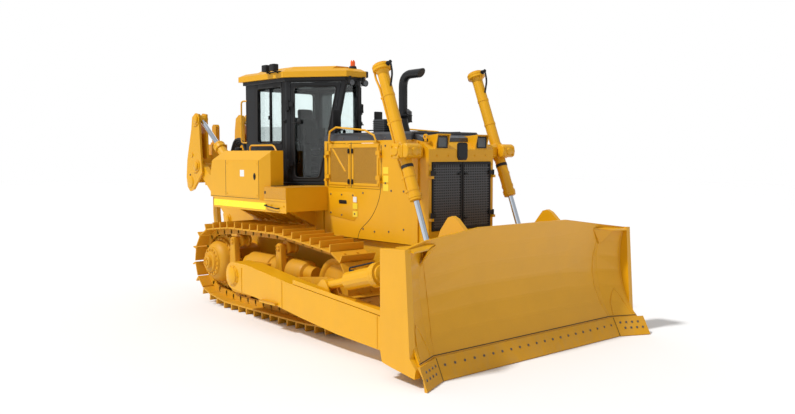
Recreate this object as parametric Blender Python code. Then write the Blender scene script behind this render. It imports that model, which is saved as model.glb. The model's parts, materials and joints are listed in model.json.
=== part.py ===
"""Crawler bulldozer with a semi-U blade, a hexagonal cab and a single-shank rear ripper.

Metres, +X towards the blade, +Y to the machine's left, +Z up.  The ground is z = 0 and the
origin lies under the middle of the machine's length and width.  Pieces come in right (-Y) and
left (+Y) pairs, so the pair builders take side = -1 or +1.
"""
import math

import bmesh
import bpy
from mathutils import Matrix, Vector

# ---------------------------------------------------------------- driving dimensions
GAP = 0.0003                 # running gap between pieces that touch

# crawler tracks
TRACK_Y = 1.07               # half the track gauge
SHOE_WIDTH = 0.56
SHOES = 41                   # shoes in one track
PIN_DROP = 0.16              # grouser tip below the chain's pin line
LINK_HALF = 0.050            # half height of a chain link
SPROCKET_X, SPROCKET_Z, SPROCKET_R = -1.75, 0.70, 0.47
IDLER_X, IDLER_Z, IDLER_R = 1.38, 0.65, 0.46
CARRIER_R = 0.10
CARRIERS = ((-1.16, 1.08), (0.16, 1.085))
ROLLER_R = 0.115
ROLLERS_X = tuple(-1.19 + 0.33 * k for k in range(7))

# hull and engine house
HULL_HALF = 0.625
HULL_BOTTOM, HULL_TOP = 0.50, 1.24
CASE_REAR, CASE_FRONT, CASE_TOP = -2.20, 0.36, 1.96
HOUSE_X0, HOUSE_X1 = 0.40, 2.30
HOUSE_HALF = 0.625
SKIN = 0.025                 # side panel thickness
HOOD_Z0, HOOD_Z1 = 2.625, 2.735
GUARD_FRONT = 2.60
DOOR_Z0, DOOR_Z1 = 1.965, 2.585

# cab
CAB_REAR, REAR_HALF = -1.617, 0.74
PILLAR_B = (-0.445, 0.722)   # corner at the door hinges
WALL_DIR = (0.784, -0.6208)  # unit plan direction of the door wall, from pillar B forwards
CAB_BOTTOM, CAB_TOP = 1.96, 3.60
WALL_LOW, WALL_HIGH = 0.601, 0.925   # length of the door wall at the floor and at the roof
CAB_WALL = 0.06
ROOF_TOP = 3.79
PANE = 0.006

# fenders, tanks and step decks
FENDER_OUT = 1.35
FENDER_Z0, FENDER_Z1 = 1.62, 1.76
DECK_X0, DECK_X1 = -0.10, 0.48
TANK_X0, TANK_X1, TANK_TOP = -1.71, -0.11, 2.49
TANK_IN = 1.01               # inner side of the tanks

# blade
BLADE_HALF = 2.065
CORNER_Y = 1.64              # where the angled wings begin
BLADE_TOP, WING_TOP, END_TOP = 1.598, 1.491, 1.442
BLADE_R = 1.413              # curvature of the moldboard
FACE_X, FACE_Z = 4.976, 1.0135   # centre of that curve
BLADE_SKIN = 0.035
WING_LEAD = 0.21             # how far the wings come forward at the cutting edge
ARM_Y0, ARM_Y1 = 1.46, 1.74
PIVOT = (-0.35, 0.67)        # push-arm trunnion (x, z)

# lift cylinders
LIFT_Y = 0.877
TRUNNION = (2.43, 2.476)
LIFT_EYE = (3.05, 0.90)
LIFT_BARREL_R, LIFT_ROD_R = 0.075, 0.036
LIFT_ABOVE, LIFT_BELOW = 1.20, 0.655

# ripper
ARM_PIN = (-2.50, 1.30)      # lower arm on the rear bracket
BEAM_PIN = (-3.72, 2.22)     # tool beam on the lower arm
PITCH_TOP = (-3.70, 3.08)    # pitch cylinder on the tool beam
RIPPER_LIFT_BASE = (-2.25, 1.75)
PITCH_Y, RIPPER_LIFT_Y = 0.46, 0.235

# colours: base colour, metallic, roughness
YELLOW = ("machine_yellow", (0.83, 0.40, 0.015), 0.0, 0.38)
TRACK_YELLOW = ("track_yellow", (0.74, 0.33, 0.015), 0.0, 0.5)
CHARCOAL = ("cab_charcoal", (0.05, 0.05, 0.055), 0.0, 0.45)
BLACK = ("black_mesh", (0.012, 0.012, 0.013), 0.0, 0.6)
STEEL = ("chromed_rod", (0.72, 0.75, 0.80), 1.0, 0.12)
CAST = ("cast_iron", (0.09, 0.09, 0.09), 0.6, 0.6)
GLASS = ("tinted_glass", (0.10, 0.13, 0.13), 0.0, 0.05)
FABRIC = ("seat_cloth", (0.02, 0.02, 0.022), 0.0, 0.9)
ORANGE = ("beacon_orange", (0.80, 0.10, 0.01), 0.0, 0.2)

for item in list(bpy.data.objects):
    bpy.data.objects.remove(item, do_unlink=True)


# ---------------------------------------------------------------- shells
def prism(outline, axis, low, high):
    """A flat outline pushed along one axis: (x, z) along y, (x, y) along z, (y, z) along x."""
    place = {"x": lambda a, b, c: (c, a, b), "y": lambda a, b, c: (a, c, b),
             "z": lambda a, b, c: (a, b, c)}[axis]
    bm = bmesh.new()
    face = bm.faces.new([bm.verts.new(place(a, b, low)) for a, b in outline])
    grown = bmesh.ops.extrude_face_region(bm, geom=[face])
    step = Vector(place(0, 0, high - low))
    bmesh.ops.translate(bm, verts=[v for v in grown["geom"] if isinstance(v, bmesh.types.BMVert)],
                        vec=step)
    bmesh.ops.recalc_face_normals(bm, faces=bm.faces)
    return bm


def box(x0, x1, y0, y1, z0, z1):
    return prism([(x0, y0), (x1, y0), (x1, y1), (x0, y1)], "z", z0, z1)


def slab(side, outline, y0, y1):
    """A plate with an (x, z) outline between two distances from the centre plane, on one side."""
    return prism(outline, "y", side * y0, side * y1)


def sided_box(side, x0, x1, y0, y1, z0, z1):
    return slab(side, [(x0, z0), (x1, z0), (x1, z1), (x0, z1)], y0, y1)


def turned(start, end, profile, sides=12):
    """A lathe shape on the line start-end; profile lists (distance along the line, radius)."""
    start, end = Vector(start), Vector(end)
    axis = (end - start).normalized()
    across = axis.orthogonal().normalized()
    bm = bmesh.new()
    chain = [bm.verts.new(start + axis * d + across * r) for d, r in profile if r > 0]
    edges = [bm.edges.new(pair) for pair in zip(chain, chain[1:])]
    bmesh.ops.spin(bm, geom=chain + edges, cent=start, axis=axis, angle=math.tau,
                   steps=sides, use_merge=True)
    bmesh.ops.remove_doubles(bm, verts=bm.verts, dist=1e-5)
    bmesh.ops.holes_fill(bm, edges=[e for e in bm.edges if e.is_boundary], sides=0)
    bmesh.ops.recalc_face_normals(bm, faces=bm.faces)
    return bm


def bar(start, end, radius, sides=12):
    length = (Vector(end) - Vector(start)).length
    return turned(start, end, [(0, 0), (0, radius), (length, radius), (length, 0)], sides)


def pin(side, x, z, y0, y1, radius, sides=12):
    """A shaft across the machine between two distances from the centre plane."""
    return bar((x, side * y0, z), (x, side * y1, z), radius, sides)


def tube(points, radius, sides=10):
    """A bent round bar through the given points."""
    points = [Vector(p) for p in points]
    bm = bmesh.new()
    rings = []
    for i, point in enumerate(points):
        before = (point - points[i - 1]).normalized() if i else None
        after = (points[i + 1] - point).normalized() if i + 1 < len(points) else None
        along = ((before or after) + (after or before)).normalized()
        if not rings:
            across = along.orthogonal().normalized()
        across = (across - along * across.dot(along)).normalized()
        stretch = 1.0 if before is None or after is None else 1.0 / max(0.5, along.dot(after))
        other = along.cross(across)
        bend = (after - before) if before is not None and after is not None else Vector()
        bend = bend.normalized() if bend.length > 1e-6 else Vector()
        ring = []
        for k in range(sides):
            turn = math.tau * k / sides
            offset = (across * math.cos(turn) + other * math.sin(turn)) * radius
            offset += bend * offset.dot(bend) * (stretch - 1.0)
            ring.append(bm.verts.new(point + offset))
        rings.append(ring)
    for ring, following in zip(rings, rings[1:]):
        for k in range(sides):
            bm.faces.new((ring[k], ring[(k + 1) % sides], following[(k + 1) % sides], following[k]))
    bm.faces.new(rings[0])
    bm.faces.new(rings[-1])
    bmesh.ops.recalc_face_normals(bm, faces=bm.faces)
    return bm


def loft(sections):
    """A closed skin through sections with the same number of points each."""
    bm = bmesh.new()
    rings = [[bm.verts.new(p) for p in section] for section in sections]
    count = len(rings[0])
    for ring, following in zip(rings, rings[1:]):
        for k in range(count):
            bm.faces.new((ring[k], ring[(k + 1) % count], following[(k + 1) % count], following[k]))
    bm.faces.new(rings[0])
    bm.faces.new(rings[-1])
    bmesh.ops.recalc_face_normals(bm, faces=bm.faces)
    return bm


def bore(side, x, z, y0, y1, radius):
    """A hole that a shaft of this radius can turn in, facets and all."""
    bm = pin(side, x, z, y0, y1, (radius + GAP) / math.cos(math.pi / 20), 20)
    bmesh.ops.rotate(bm, verts=bm.verts, cent=(x, 0, z), matrix=Matrix.Rotation(math.pi / 20, 3, "Y"))
    return bm


def arc(cx, cz, radius, start, end, steps):
    """Points on a circle, angles in degrees from +x towards +z."""
    return [(cx + radius * math.cos(math.radians(start + (end - start) * i / steps)),
             cz + radius * math.sin(math.radians(start + (end - start) * i / steps)))
            for i in range(steps + 1)]


# ---------------------------------------------------------------- pieces
def as_object(bm, name):
    mesh = bpy.data.meshes.new(name)
    bm.to_mesh(mesh)
    bm.free()
    item = bpy.data.objects.new(name, mesh)
    bpy.context.scene.collection.objects.link(item)
    return item


def material_of(look):
    name, colour, metallic, roughness = look
    material = bpy.data.materials.get(name)
    if material is None:
        material = bpy.data.materials.new(name)
        material.use_nodes = True
        shader = material.node_tree.nodes["Principled BSDF"]
        shader.inputs["Base Color"].default_value = (*colour, 1.0)
        shader.inputs["Metallic"].default_value = metallic
        shader.inputs["Roughness"].default_value = roughness
    return material


def piece(name, look, shells, cuts=(), origin=(0, 0, 0)):
    """One sub-part: the shells united, the cuts taken away, its origin on its joint."""
    body = as_object(shells[0], name)
    helpers = []
    for operation, group in (("UNION", shells[1:]), ("DIFFERENCE", cuts)):
        for shell in group:
            other = as_object(shell, name + "_tool")
            helpers.append(other)
            modifier = body.modifiers.new(operation, "BOOLEAN")
            modifier.operation = operation
            modifier.solver = "EXACT"
            modifier.object = other
    bpy.context.view_layer.update()
    solid = bpy.data.meshes.new_from_object(
        body.evaluated_get(bpy.context.evaluated_depsgraph_get()))
    body.modifiers.clear()
    body.data = solid
    for other in helpers:
        bpy.data.objects.remove(other, do_unlink=True)
    bm = bmesh.new()
    bm.from_mesh(solid)
    bmesh.ops.remove_doubles(bm, verts=bm.verts, dist=4e-6)
    bmesh.ops.dissolve_degenerate(bm, edges=bm.edges, dist=4e-6)
    bmesh.ops.dissolve_limit(bm, angle_limit=0.002, verts=bm.verts, edges=bm.edges)
    bm.to_mesh(solid)
    bm.free()
    solid.name = name
    solid.transform(Matrix.Translation(-Vector(origin)))
    body.location = origin
    solid.shade_smooth()
    solid.set_sharp_from_angle(angle=math.radians(32))
    solid.materials.clear()
    solid.materials.append(material_of(look))
    return body


def pair(name, look, shells, cuts=(), origin=(0, 0, 0)):
    """A left-hand piece and its mirror image on the right."""
    left = piece(name + "_left", look, shells, cuts, origin)
    mesh = left.data.copy()
    mesh.name = name + "_right"
    mesh.transform(Matrix.Scale(-1.0, 4, (0, 1, 0)))
    mesh.flip_normals()
    right = bpy.data.objects.new(name + "_right", mesh)
    bpy.context.scene.collection.objects.link(right)
    right.location = (left.location.x, -left.location.y, left.location.z)


BOTH = (-1, 1)
side = 1                     # paired pieces are drawn on the left

# ---------------------------------------------------------------- hull and engine house
case = [(CASE_REAR, 0.66), (-1.95, HULL_BOTTOM), (2.00, HULL_BOTTOM), (2.50, 0.74),
        (2.50, HULL_TOP), (CASE_FRONT, HULL_TOP), (CASE_FRONT, 1.60), (CASE_REAR, 1.60)]
hull = [slab(1, case, -0.55, 0.55), box(CASE_REAR, CASE_FRONT, -HULL_HALF, HULL_HALF, 1.22, 1.60),
        box(-1.30, CASE_FRONT, -HULL_HALF + GAP, HULL_HALF - GAP, 1.55, CASE_TOP - GAP),
        box(0.95, 1.11, -0.87 + GAP, 0.87 - GAP, 0.46, 0.62)]
for side in BOTH:
    hull.append(pin(side, SPROCKET_X, SPROCKET_Z, 0.40, 0.93, 0.27))
    hull.append(pin(side, -0.90, 0.56, 0.40, 0.93 - GAP, 0.10))
piece("main_frame", YELLOW, hull)
piece("engine_block", CAST, [box(0.62, 2.18, -0.36, 0.36, HULL_TOP + GAP, 2.40)])

hood = [prism([(-HOUSE_HALF, HOOD_Z0), (HOUSE_HALF, HOOD_Z0), (HOUSE_HALF, HOOD_Z1 - 0.03),
               (HOUSE_HALF - 0.04, HOOD_Z1), (-HOUSE_HALF + 0.04, HOOD_Z1),
               (-HOUSE_HALF, HOOD_Z1 - 0.03)], "x", HOUSE_X0, HOUSE_X1 - GAP),
        box(1.06, 1.30, -0.24, 0.10, HOOD_Z1 - 0.01, 2.93),
        turned((1.18, 0.26, HOOD_Z1 - 0.01), (1.18, 0.26, 3.2),
               [(0, 0), (0, 0.05), (0.16, 0.05), (0.18, 0.10), (0.33, 0.10), (0.37, 0.05), (0.37, 0)]),
        box(1.10, 1.26, 0.0, 0.24, HOOD_Z1 - 0.01, 2.80)]
hood_hollow = [box(HOUSE_X0 + 0.03, HOUSE_X1 + 0.1, -HOUSE_HALF + 0.04, HOUSE_HALF - 0.04,
                   HOOD_Z0 - 0.1, HOOD_Z1 - 0.025)]
piece("hood", CHARCOAL, hood, hood_hollow)

DOORS_ALONG = ((0.50, 0.90), (0.955, 1.66))     # front and rear edges of the two side doors
skin = [sided_box(side, HOUSE_X0, HOUSE_X1 - GAP, HOUSE_HALF - SKIN, HOUSE_HALF,
                  HULL_TOP + 0.02, HOOD_Z0 - GAP),
        sided_box(side, HOUSE_X0, HOUSE_X1 - GAP, 0.545, HOUSE_HALF, HULL_TOP + 0.02 - 0.0001,
                  HULL_TOP + 0.07),
        sided_box(side, HOUSE_X0, HOUSE_X0 + 0.03, 0.30, HOUSE_HALF, HULL_TOP + GAP, HOOD_Z0 - GAP)]
leaves = ((0.47, 1), (1.69, -1))
for hinge_x, step in leaves:
    for level in (2.08, 2.42):
        skin.append(sided_box(side, hinge_x - 0.022, hinge_x + 0.022, HOUSE_HALF - 0.01,
                              HOUSE_HALF + 0.048, level - 0.035, level - GAP))
rail_y = side * 0.69
skin.append(tube([(0.60, side * 0.61, 2.58), (0.60, rail_y, 2.63), (0.62, rail_y, 2.76),
                  (0.77, rail_y, 2.818), (1.42, rail_y, 2.765), (1.62, rail_y, 2.69),
                  (1.66, rail_y, 2.62), (1.66, side * 0.61, 2.58)], 0.0135, 8))
openings = [sided_box(side, x0 - 0.006, x1 + 0.006, 0.50, 0.70, DOOR_Z0 - 0.006, DOOR_Z1 + 0.006)
            for x0, x1 in DOORS_ALONG]
pair("engine_side", YELLOW, skin, openings)

for (x0, x1), (hinge_x, step), where in zip(DOORS_ALONG, leaves, ("rear", "front")):
    edge = x0 if step > 0 else x1
    door = [sided_box(side, x0, x1, HOUSE_HALF - 0.022, HOUSE_HALF, DOOR_Z0, DOOR_Z1)]
    for level in (2.08, 2.42):
        door.append(bar((hinge_x, side * (HOUSE_HALF + 0.03), level),
                                  (hinge_x, side * (HOUSE_HALF + 0.03), level + 0.07), 0.014, 12))
        door.append(sided_box(side, min(hinge_x, edge + step * 0.05), max(hinge_x, edge + step * 0.05),
                              HOUSE_HALF + 0.026, HOUSE_HALF + 0.034, level + 0.008, level + 0.062))
        door.append(sided_box(side, min(edge + step * 0.02, edge + step * 0.05),
                              max(edge + step * 0.02, edge + step * 0.05),
                              HOUSE_HALF - 0.01, HOUSE_HALF + 0.034, level + 0.008, level + 0.062))
    pair("engine_door_" + where, YELLOW, door,
          origin=(hinge_x, side * (HOUSE_HALF + 0.03), DOOR_Z0))

# ---------------------------------------------------------------- radiator guard and grille
guard_side = [(HOUSE_X1, HULL_TOP + GAP), (GUARD_FRONT, HULL_TOP + GAP), (GUARD_FRONT, 2.50),
              (2.46, 2.60), (HOUSE_X1, 2.63)]
guard = [slab(1, guard_side, -0.60, 0.60)]
for side in BOTH:
    guard.append(sided_box(side, HOUSE_X1, 2.42, 0.58, HOUSE_HALF, HULL_TOP + GAP, 2.60))
    guard.append(sided_box(side, 2.38, 2.598, 0.26, 0.47, 2.50, 2.68))
guard_hollow = [box(HOUSE_X1 - 0.1, GUARD_FRONT - 0.045, -0.55, 0.55, HULL_TOP + 0.06, 2.44),
                box(GUARD_FRONT - 0.10, GUARD_FRONT + 0.1, -0.55, 0.55, 1.45, 2.34)]
for side in BOTH:
    for level in (1.62, 2.16):
        guard.append(sided_box(side, GUARD_FRONT - 0.01, GUARD_FRONT + 0.05, 0.552, 0.597,
                               level - 0.035, level - GAP))
piece("radiator_guard", YELLOW, guard, guard_hollow)
leaf = [sided_box(side, GUARD_FRONT - 0.024, GUARD_FRONT, 0.003, 0.544, 1.456, 2.334)]
for level in (1.62, 2.16):
    leaf.append(bar((GUARD_FRONT + 0.03, side * 0.574, level),
                    (GUARD_FRONT + 0.03, side * 0.574, level + 0.07), 0.014, 12))
    leaf.append(sided_box(side, GUARD_FRONT + 0.026, GUARD_FRONT + 0.034, 0.50, 0.574,
                          level + 0.008, level + 0.062))
    leaf.append(sided_box(side, GUARD_FRONT - 0.01, GUARD_FRONT + 0.034, 0.50, 0.525,
                          level + 0.008, level + 0.062))
pair("grille_door", BLACK, leaf, origin=(GUARD_FRONT + 0.03, side * 0.574, 1.456))

# ---------------------------------------------------------------- exhaust and air intake
stack = [turned((1.43, 0, HOOD_Z1 + GAP), (1.43, 0, 3.4),
                [(0, 0), (0, 0.10), (0.02, 0.10), (0.02, 0.07), (0.10, 0.052), (0.30, 0.052), (0.30, 0)])]
elbow = [(1.43, 0, 2.95), (1.43, 0, 3.40)]
elbow += [(1.55 - 0.12 * math.cos(a), 0, 3.43 + 0.12 * math.sin(a))
          for a in (math.radians(d) for d in (15, 35, 55, 75, 90))] + [(1.84, 0, 3.55)]
stack.append(tube(elbow, 0.05))
piece("exhaust_stack", CHARCOAL, stack,
      [bar((1.66, 0, 3.55), (1.95, 0, 3.55), 0.042, 12),
       prism([(1.80, 3.45), (1.95, 3.45), (1.95, 3.66), (1.88, 3.66)], "y", -0.1, 0.1)])
# ---------------------------------------------------------------- cab
def inset_outline(points, inset):
    """A convex counter-clockwise plan outline with every side moved inwards."""
    lines = []
    for (x0, y0), (x1, y1) in zip(points, points[1:] + points[:1]):
        length = math.hypot(x1 - x0, y1 - y0)
        nx, ny = (y0 - y1) / length, (x1 - x0) / length
        lines.append((nx, ny, nx * x0 + ny * y0 + inset))
    result = []
    for (a, b, c), (d, e, f) in zip(lines[-1:] + lines[:-1], lines):
        result.append(((c * e - b * f) / (a * e - b * d), (a * f - c * d) / (a * e - b * d)))
    return result


def wall_reach(z):
    """Length of the door wall at height z: the windscreen leans forward."""
    return WALL_LOW + (WALL_HIGH - WALL_LOW) * (z - CAB_BOTTOM) / (CAB_TOP - CAB_BOTTOM)


def on_wall(side, along, out):
    """A plan point on the slanting door wall: distance from pillar B and distance outwards."""
    x = PILLAR_B[0] + WALL_DIR[0] * along - WALL_DIR[1] * out
    y = PILLAR_B[1] + WALL_DIR[1] * along + WALL_DIR[0] * out
    return (x, side * y)


def cab_plan(inset, z):
    """The hexagonal floor plan at height z, pulled in by an inset: rear, pillar B, windscreen."""
    half = [(CAB_REAR, REAR_HALF), PILLAR_B, on_wall(1, wall_reach(z), 0.0)]
    return inset_outline([(x, -y) for x, y in half] + half[::-1], inset)


def cab_ring(inset, z):
    return [(x, y, z) for x, y in cab_plan(inset, z)]


def wall_block(side, a0, a1, o0, o1, z0, z1):
    return prism([on_wall(side, a0, o0), on_wall(side, a1, o0), on_wall(side, a1, o1),
                  on_wall(side, a0, o1)], "z", z0, z1)


def rounded(outline, radius, steps=3):
    """The same outline with every corner turned into a short arc."""
    result = []
    for i, corner in enumerate(outline):
        here = Vector(corner)
        before = (Vector(outline[i - 1]) - here).normalized() * radius
        after = (Vector(outline[(i + 1) % len(outline)]) - here).normalized() * radius
        for k in range(steps + 1):
            t = k / steps
            result.append(tuple(here + before * (1 - t) ** 2 + after * t ** 2))
    return result


FLOOR = CAB_BOTTOM + 0.05
DOOR_BOTTOM, DOOR_TOP = 2.02, 3.52
HINGE_LEVELS = (2.25, 3.15)


def wall_plate(side, outline, o0, o1):
    """A plate in the slanting door wall, its outline in (distance from pillar B, height)."""
    return loft([[(*on_wall(side, a, o), z) for a, z in outline] for o in (o0, o1)])


def door_outline(grow):
    """The door: upright at the hinges, its free edge following the leaning windscreen."""
    low, high = DOOR_BOTTOM - grow, DOOR_TOP + grow
    return [(0.066 - grow, low), (wall_reach(low) - 0.05 + grow, low),
            (wall_reach(high) - 0.05 + grow, high), (0.066 - grow, high)]


def side_wall_y(x, inset):
    """Distance from the centre plane of the cab's rear side wall, at x."""
    part = (x - CAB_REAR) / (PILLAR_B[0] - CAB_REAR)
    return REAR_HALF + (PILLAR_B[1] - REAR_HALF) * part - inset


shell = [loft([cab_ring(0.0, CAB_BOTTOM + GAP), cab_ring(0.0, CAB_TOP)])]
hollow = [loft([cab_ring(CAB_WALL, FLOOR), cab_ring(CAB_WALL, CAB_TOP - 0.05)])]
windows = [prism(rounded([(-0.60, 2.60), (0.60, 2.60), (0.60, 3.48), (-0.60, 3.48)], 0.07), "x",
                 CAB_REAR - 0.1, CAB_REAR + 0.2)]
SCREEN_LOW, SCREEN_HIGH = 2.42, 3.50
screen = []
for z in (SCREEN_LOW, SCREEN_HIGH):
    x, y = on_wall(1, wall_reach(z), 0.0)
    screen.append([(x - 0.2, -y + 0.045, z), (x + 0.2, -y + 0.045, z), (x + 0.2, y - 0.045, z),
                   (x - 0.2, y - 0.045, z)])
windows.append(loft(screen))
for side in BOTH:
    pane = rounded([(-1.27, 2.60), (-0.57, 2.60), (-0.57, 3.48), (-1.27, 3.48)], 0.07)
    windows.append(slab(side, pane, 0.60, 0.90))
    windows.append(wall_plate(side, door_outline(0.006), -0.12, 0.05))
    for level in HINGE_LEVELS:
        shell.append(wall_block(side, 0.012, 0.048, -0.03, 0.048, level - 0.04, level - GAP))
piece("cab_shell", CHARCOAL, shell, hollow + windows)

rings = [[(x, y, level) for x, y in cab_plan(inset, CAB_TOP)]
         for level, inset in ((CAB_TOP + GAP, -0.085), (3.685, -0.085), (3.73, 0.0), (3.74, 0.12),
                              (ROOF_TOP - 0.005, 0.19))]
piece("cab_roof", YELLOW, [loft(rings)], [box(0.02, 1.0, -1.0, 1.0, 3.732, 4.0)])
BEACON = (0.20, 0.06)
piece("beacon", ORANGE, [turned((*BEACON, 3.7323), (*BEACON, 3.9),
      [(0, 0), (0, 0.048), (0.035, 0.048), (0.04, 0.038), (0.11, 0.036), (0.135, 0.022), (0.142, 0)], 16)])


def window_band(half, z0, z1):
    """Panes set edge to edge behind the pillars: a strip of glass bent along a plan line."""
    outer = half
    inner = []
    for i, (x, y) in enumerate(outer):
        ends = [Vector(outer[j]) for j in (max(i - 1, 0), min(i + 1, len(outer) - 1))]
        here = Vector((x, y))
        steps = [(here - ends[0]), (ends[1] - here)]
        steps = [s.normalized() for s in steps if s.length > 1e-6]
        normals = [Vector((-s.y, s.x)) for s in steps]
        mean = sum(normals, Vector((0, 0))).normalized()
        inner.append(tuple(here + mean * PANE / max(0.3, mean.dot(normals[0]))))
    return prism(outer + inner[::-1], "z", z0, z1)


INSIDE = CAB_WALL + GAP
plan = cab_plan(INSIDE, 3.0)
rear_line = [(-0.52, side_wall_y(-0.52, INSIDE)), plan[5], plan[0], (-0.52, -side_wall_y(-0.52, INSIDE))]
piece("glass_rear", GLASS, [window_band(rear_line, 2.575, 3.505)])
screen = []
for z in (SCREEN_LOW - 0.03, SCREEN_HIGH + 0.03):
    outer, inner = cab_plan(INSIDE, z)[2:4], cab_plan(INSIDE + PANE, z)[2:4]
    screen.append([(x, y * (1 - 0.004 / abs(y)), z) for x, y in outer + inner[::-1]])
piece("glass_front", GLASS, [loft(screen)])

side = 1
hinge = (*on_wall(side, 0.03, 0.03), DOOR_BOTTOM)
leaf = [wall_plate(side, door_outline(0.0), -0.05, 0.0)]
for level in HINGE_LEVELS:
    leaf.append(bar((hinge[0], hinge[1], level), (hinge[0], hinge[1], level + 0.09), 0.016, 12))
    leaf.append(wall_block(side, 0.03, 0.11, 0.024, 0.036, level + 0.01, level + 0.08))
    leaf.append(wall_block(side, 0.078, 0.109, -0.02, 0.035, level + 0.012, level + 0.078))
pair("cab_door", CHARCOAL, leaf, [wall_plate(side, rounded(door_outline(-0.055), 0.07), -0.10, 0.10)],
     origin=hinge)
pair("door_glass", GLASS, [wall_plate(side, door_outline(-0.035), -0.05 - GAP - PANE, -0.05 - GAP)],
     origin=hinge)

SEAT_X = -0.72               # middle of the seat cushion
seat = [box(SEAT_X - 0.27, SEAT_X + 0.27, -0.26, 0.26, FLOOR + 0.32, FLOOR + 0.50),
        slab(1, [(SEAT_X - 0.27, FLOOR + 0.42), (SEAT_X - 0.12, FLOOR + 0.42), (SEAT_X - 0.22, FLOOR + 1.12),
                 (SEAT_X - 0.34, FLOOR + 1.12)], -0.24, 0.24),
        box(SEAT_X - 0.22, SEAT_X + 0.20, -0.20, 0.20, FLOOR + GAP, FLOOR + 0.35),
        box(SEAT_X - 0.20, SEAT_X + 0.36, -0.46, -0.31, FLOOR + GAP, FLOOR + 0.60),
        box(SEAT_X - 0.20, SEAT_X + 0.36, 0.31, 0.46, FLOOR + GAP, FLOOR + 0.60),
        box(SEAT_X - 0.15, SEAT_X + 0.15, -0.44, 0.44, FLOOR + 0.30, FLOOR + 0.38)]
piece("operator_seat", FABRIC, seat)
piece("dash_console", BLACK, [box(-0.30, -0.08, -0.24, 0.24, FLOOR + GAP, 2.42),
      prism([(-0.30, 2.40), (-0.08, 2.40), (-0.04, 2.64), (-0.10, 2.70), (-0.26, 2.60)], "y", -0.22, 0.22)])

# ---------------------------------------------------------------- fenders, decks and tanks
inner = HULL_HALF + GAP
fender = [sided_box(side, -1.60, DECK_X1, inner, FENDER_OUT, FENDER_Z0, FENDER_Z1 - GAP),
          sided_box(side, DECK_X0, DECK_X1, inner, FENDER_OUT, FENDER_Z0, CAB_BOTTOM),
          sided_box(side, -1.60, DECK_X0 + 0.1, inner, 0.92, FENDER_Z0, FENDER_Z1 + 0.04)]
for x in (-1.45, -0.75, 0.05):
    fender.append(prism([(side * inner, 1.36), (side * 1.12, FENDER_Z0 + 0.01),
                         (side * inner, FENDER_Z0 + 0.01)], "x", x, x + 0.12))
pair("fender", YELLOW, fender)
tank = [prism([(side * TANK_IN, FENDER_Z1), (side * FENDER_OUT, FENDER_Z1),
               (side * FENDER_OUT, 2.35), (side * 1.21, TANK_TOP), (side * TANK_IN, TANK_TOP)],
              "x", TANK_X0, TANK_X1),
        tube([(-0.95, side * 1.07, 2.46), (-0.95, side * 1.07, 2.54), (-0.91, side * 1.07, 2.57),
              (-0.32, side * 1.07, 2.57), (-0.26, side * 1.07, 2.55), (-0.18, side * 1.07, 2.46)],
             0.0135, 8)]
corner = [(TANK_X1 - 0.12, side * 1.5), (TANK_X1 + 0.15, side * 1.5), (TANK_X1 + 0.15, side * 1.23),
          (TANK_X1, side * 1.23), (TANK_X1 - 0.12, side * FENDER_OUT)]
slope = [(TANK_X0 - 0.1, 2.10), (TANK_X0, 2.10), (TANK_X0 + 0.05, 2.32), (TANK_X0 + 0.24, 2.50),
         (TANK_X0 + 0.24, 2.60), (TANK_X0 - 0.1, 2.60)]
pair("tank", YELLOW, tank, [prism(corner, "z", 1.6, 2.6), slab(side, slope, 0.8, 1.5)])


# ---------------------------------------------------------------- tracks
def belt(circles):
    """Outline of a belt laid counter-clockwise round circles (x, z, radius), finely stepped."""
    path = []
    count = len(circles)
    angles = []
    for i in range(count):
        (x0, z0, r0), (x1, z1, r1) = circles[i], circles[(i + 1) % count]
        reach = math.hypot(x1 - x0, z1 - z0)
        heading = math.atan2(z1 - z0, x1 - x0)
        angles.append(heading - math.pi / 2 + math.asin((r1 - r0) / reach) * -1)
    for i in range(count):
        x, z, r = circles[i]
        start, end = angles[i - 1], angles[i]
        while end < start:
            end += math.tau
        steps = max(1, int((end - start) * r / 0.02))
        for k in range(steps + 1):
            a = start + (end - start) * k / steps
            path.append((x + r * math.cos(a), z + r * math.sin(a)))
    return path


def resample(path, count):
    """The same closed line, as count evenly spaced points with their outward normals."""
    lengths = [math.dist(path[i], path[(i + 1) % len(path)]) for i in range(len(path))]
    total = sum(lengths)
    points, i, walked = [], 0, 0.0
    for k in range(count):
        target = total * k / count
        while walked + lengths[i] < target:
            walked += lengths[i]
            i += 1
        (x0, z0), (x1, z1) = path[i], path[(i + 1) % len(path)]
        part = (target - walked) / max(lengths[i], 1e-9)
        points.append((x0 + (x1 - x0) * part, z0 + (z1 - z0) * part))
    result = []
    for k, (x, z) in enumerate(points):
        (xa, za), (xb, zb) = points[k - 1], points[(k + 1) % count]
        length = math.hypot(xb - xa, zb - za)
        result.append((x, z, (zb - za) / length, -(xb - xa) / length))
    return result


ROLLER_Z = PIN_DROP + LINK_HALF + ROLLER_R + 2 * GAP
RUN = [(ROLLERS_X[0] - 0.10, PIN_DROP + 0.30, 0.30), (ROLLERS_X[-1] + 0.10, PIN_DROP + 0.30, 0.30),
       (IDLER_X, IDLER_Z, IDLER_R)]
RUN += [(x, z, CARRIER_R + LINK_HALF + GAP) for x, z in reversed(CARRIERS)]
RUN += [(SPROCKET_X, SPROCKET_Z, SPROCKET_R)]
PIN_LINE = belt(RUN)


def offset_line(count, offsets):
    """The pin line pushed outwards, through a repeating list of offsets."""
    line = resample(PIN_LINE, count)
    return [(x + nx * offsets[k % len(offsets)], z + nz * offsets[k % len(offsets)])
            for k, (x, z, nx, nz) in enumerate(line)]


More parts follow.
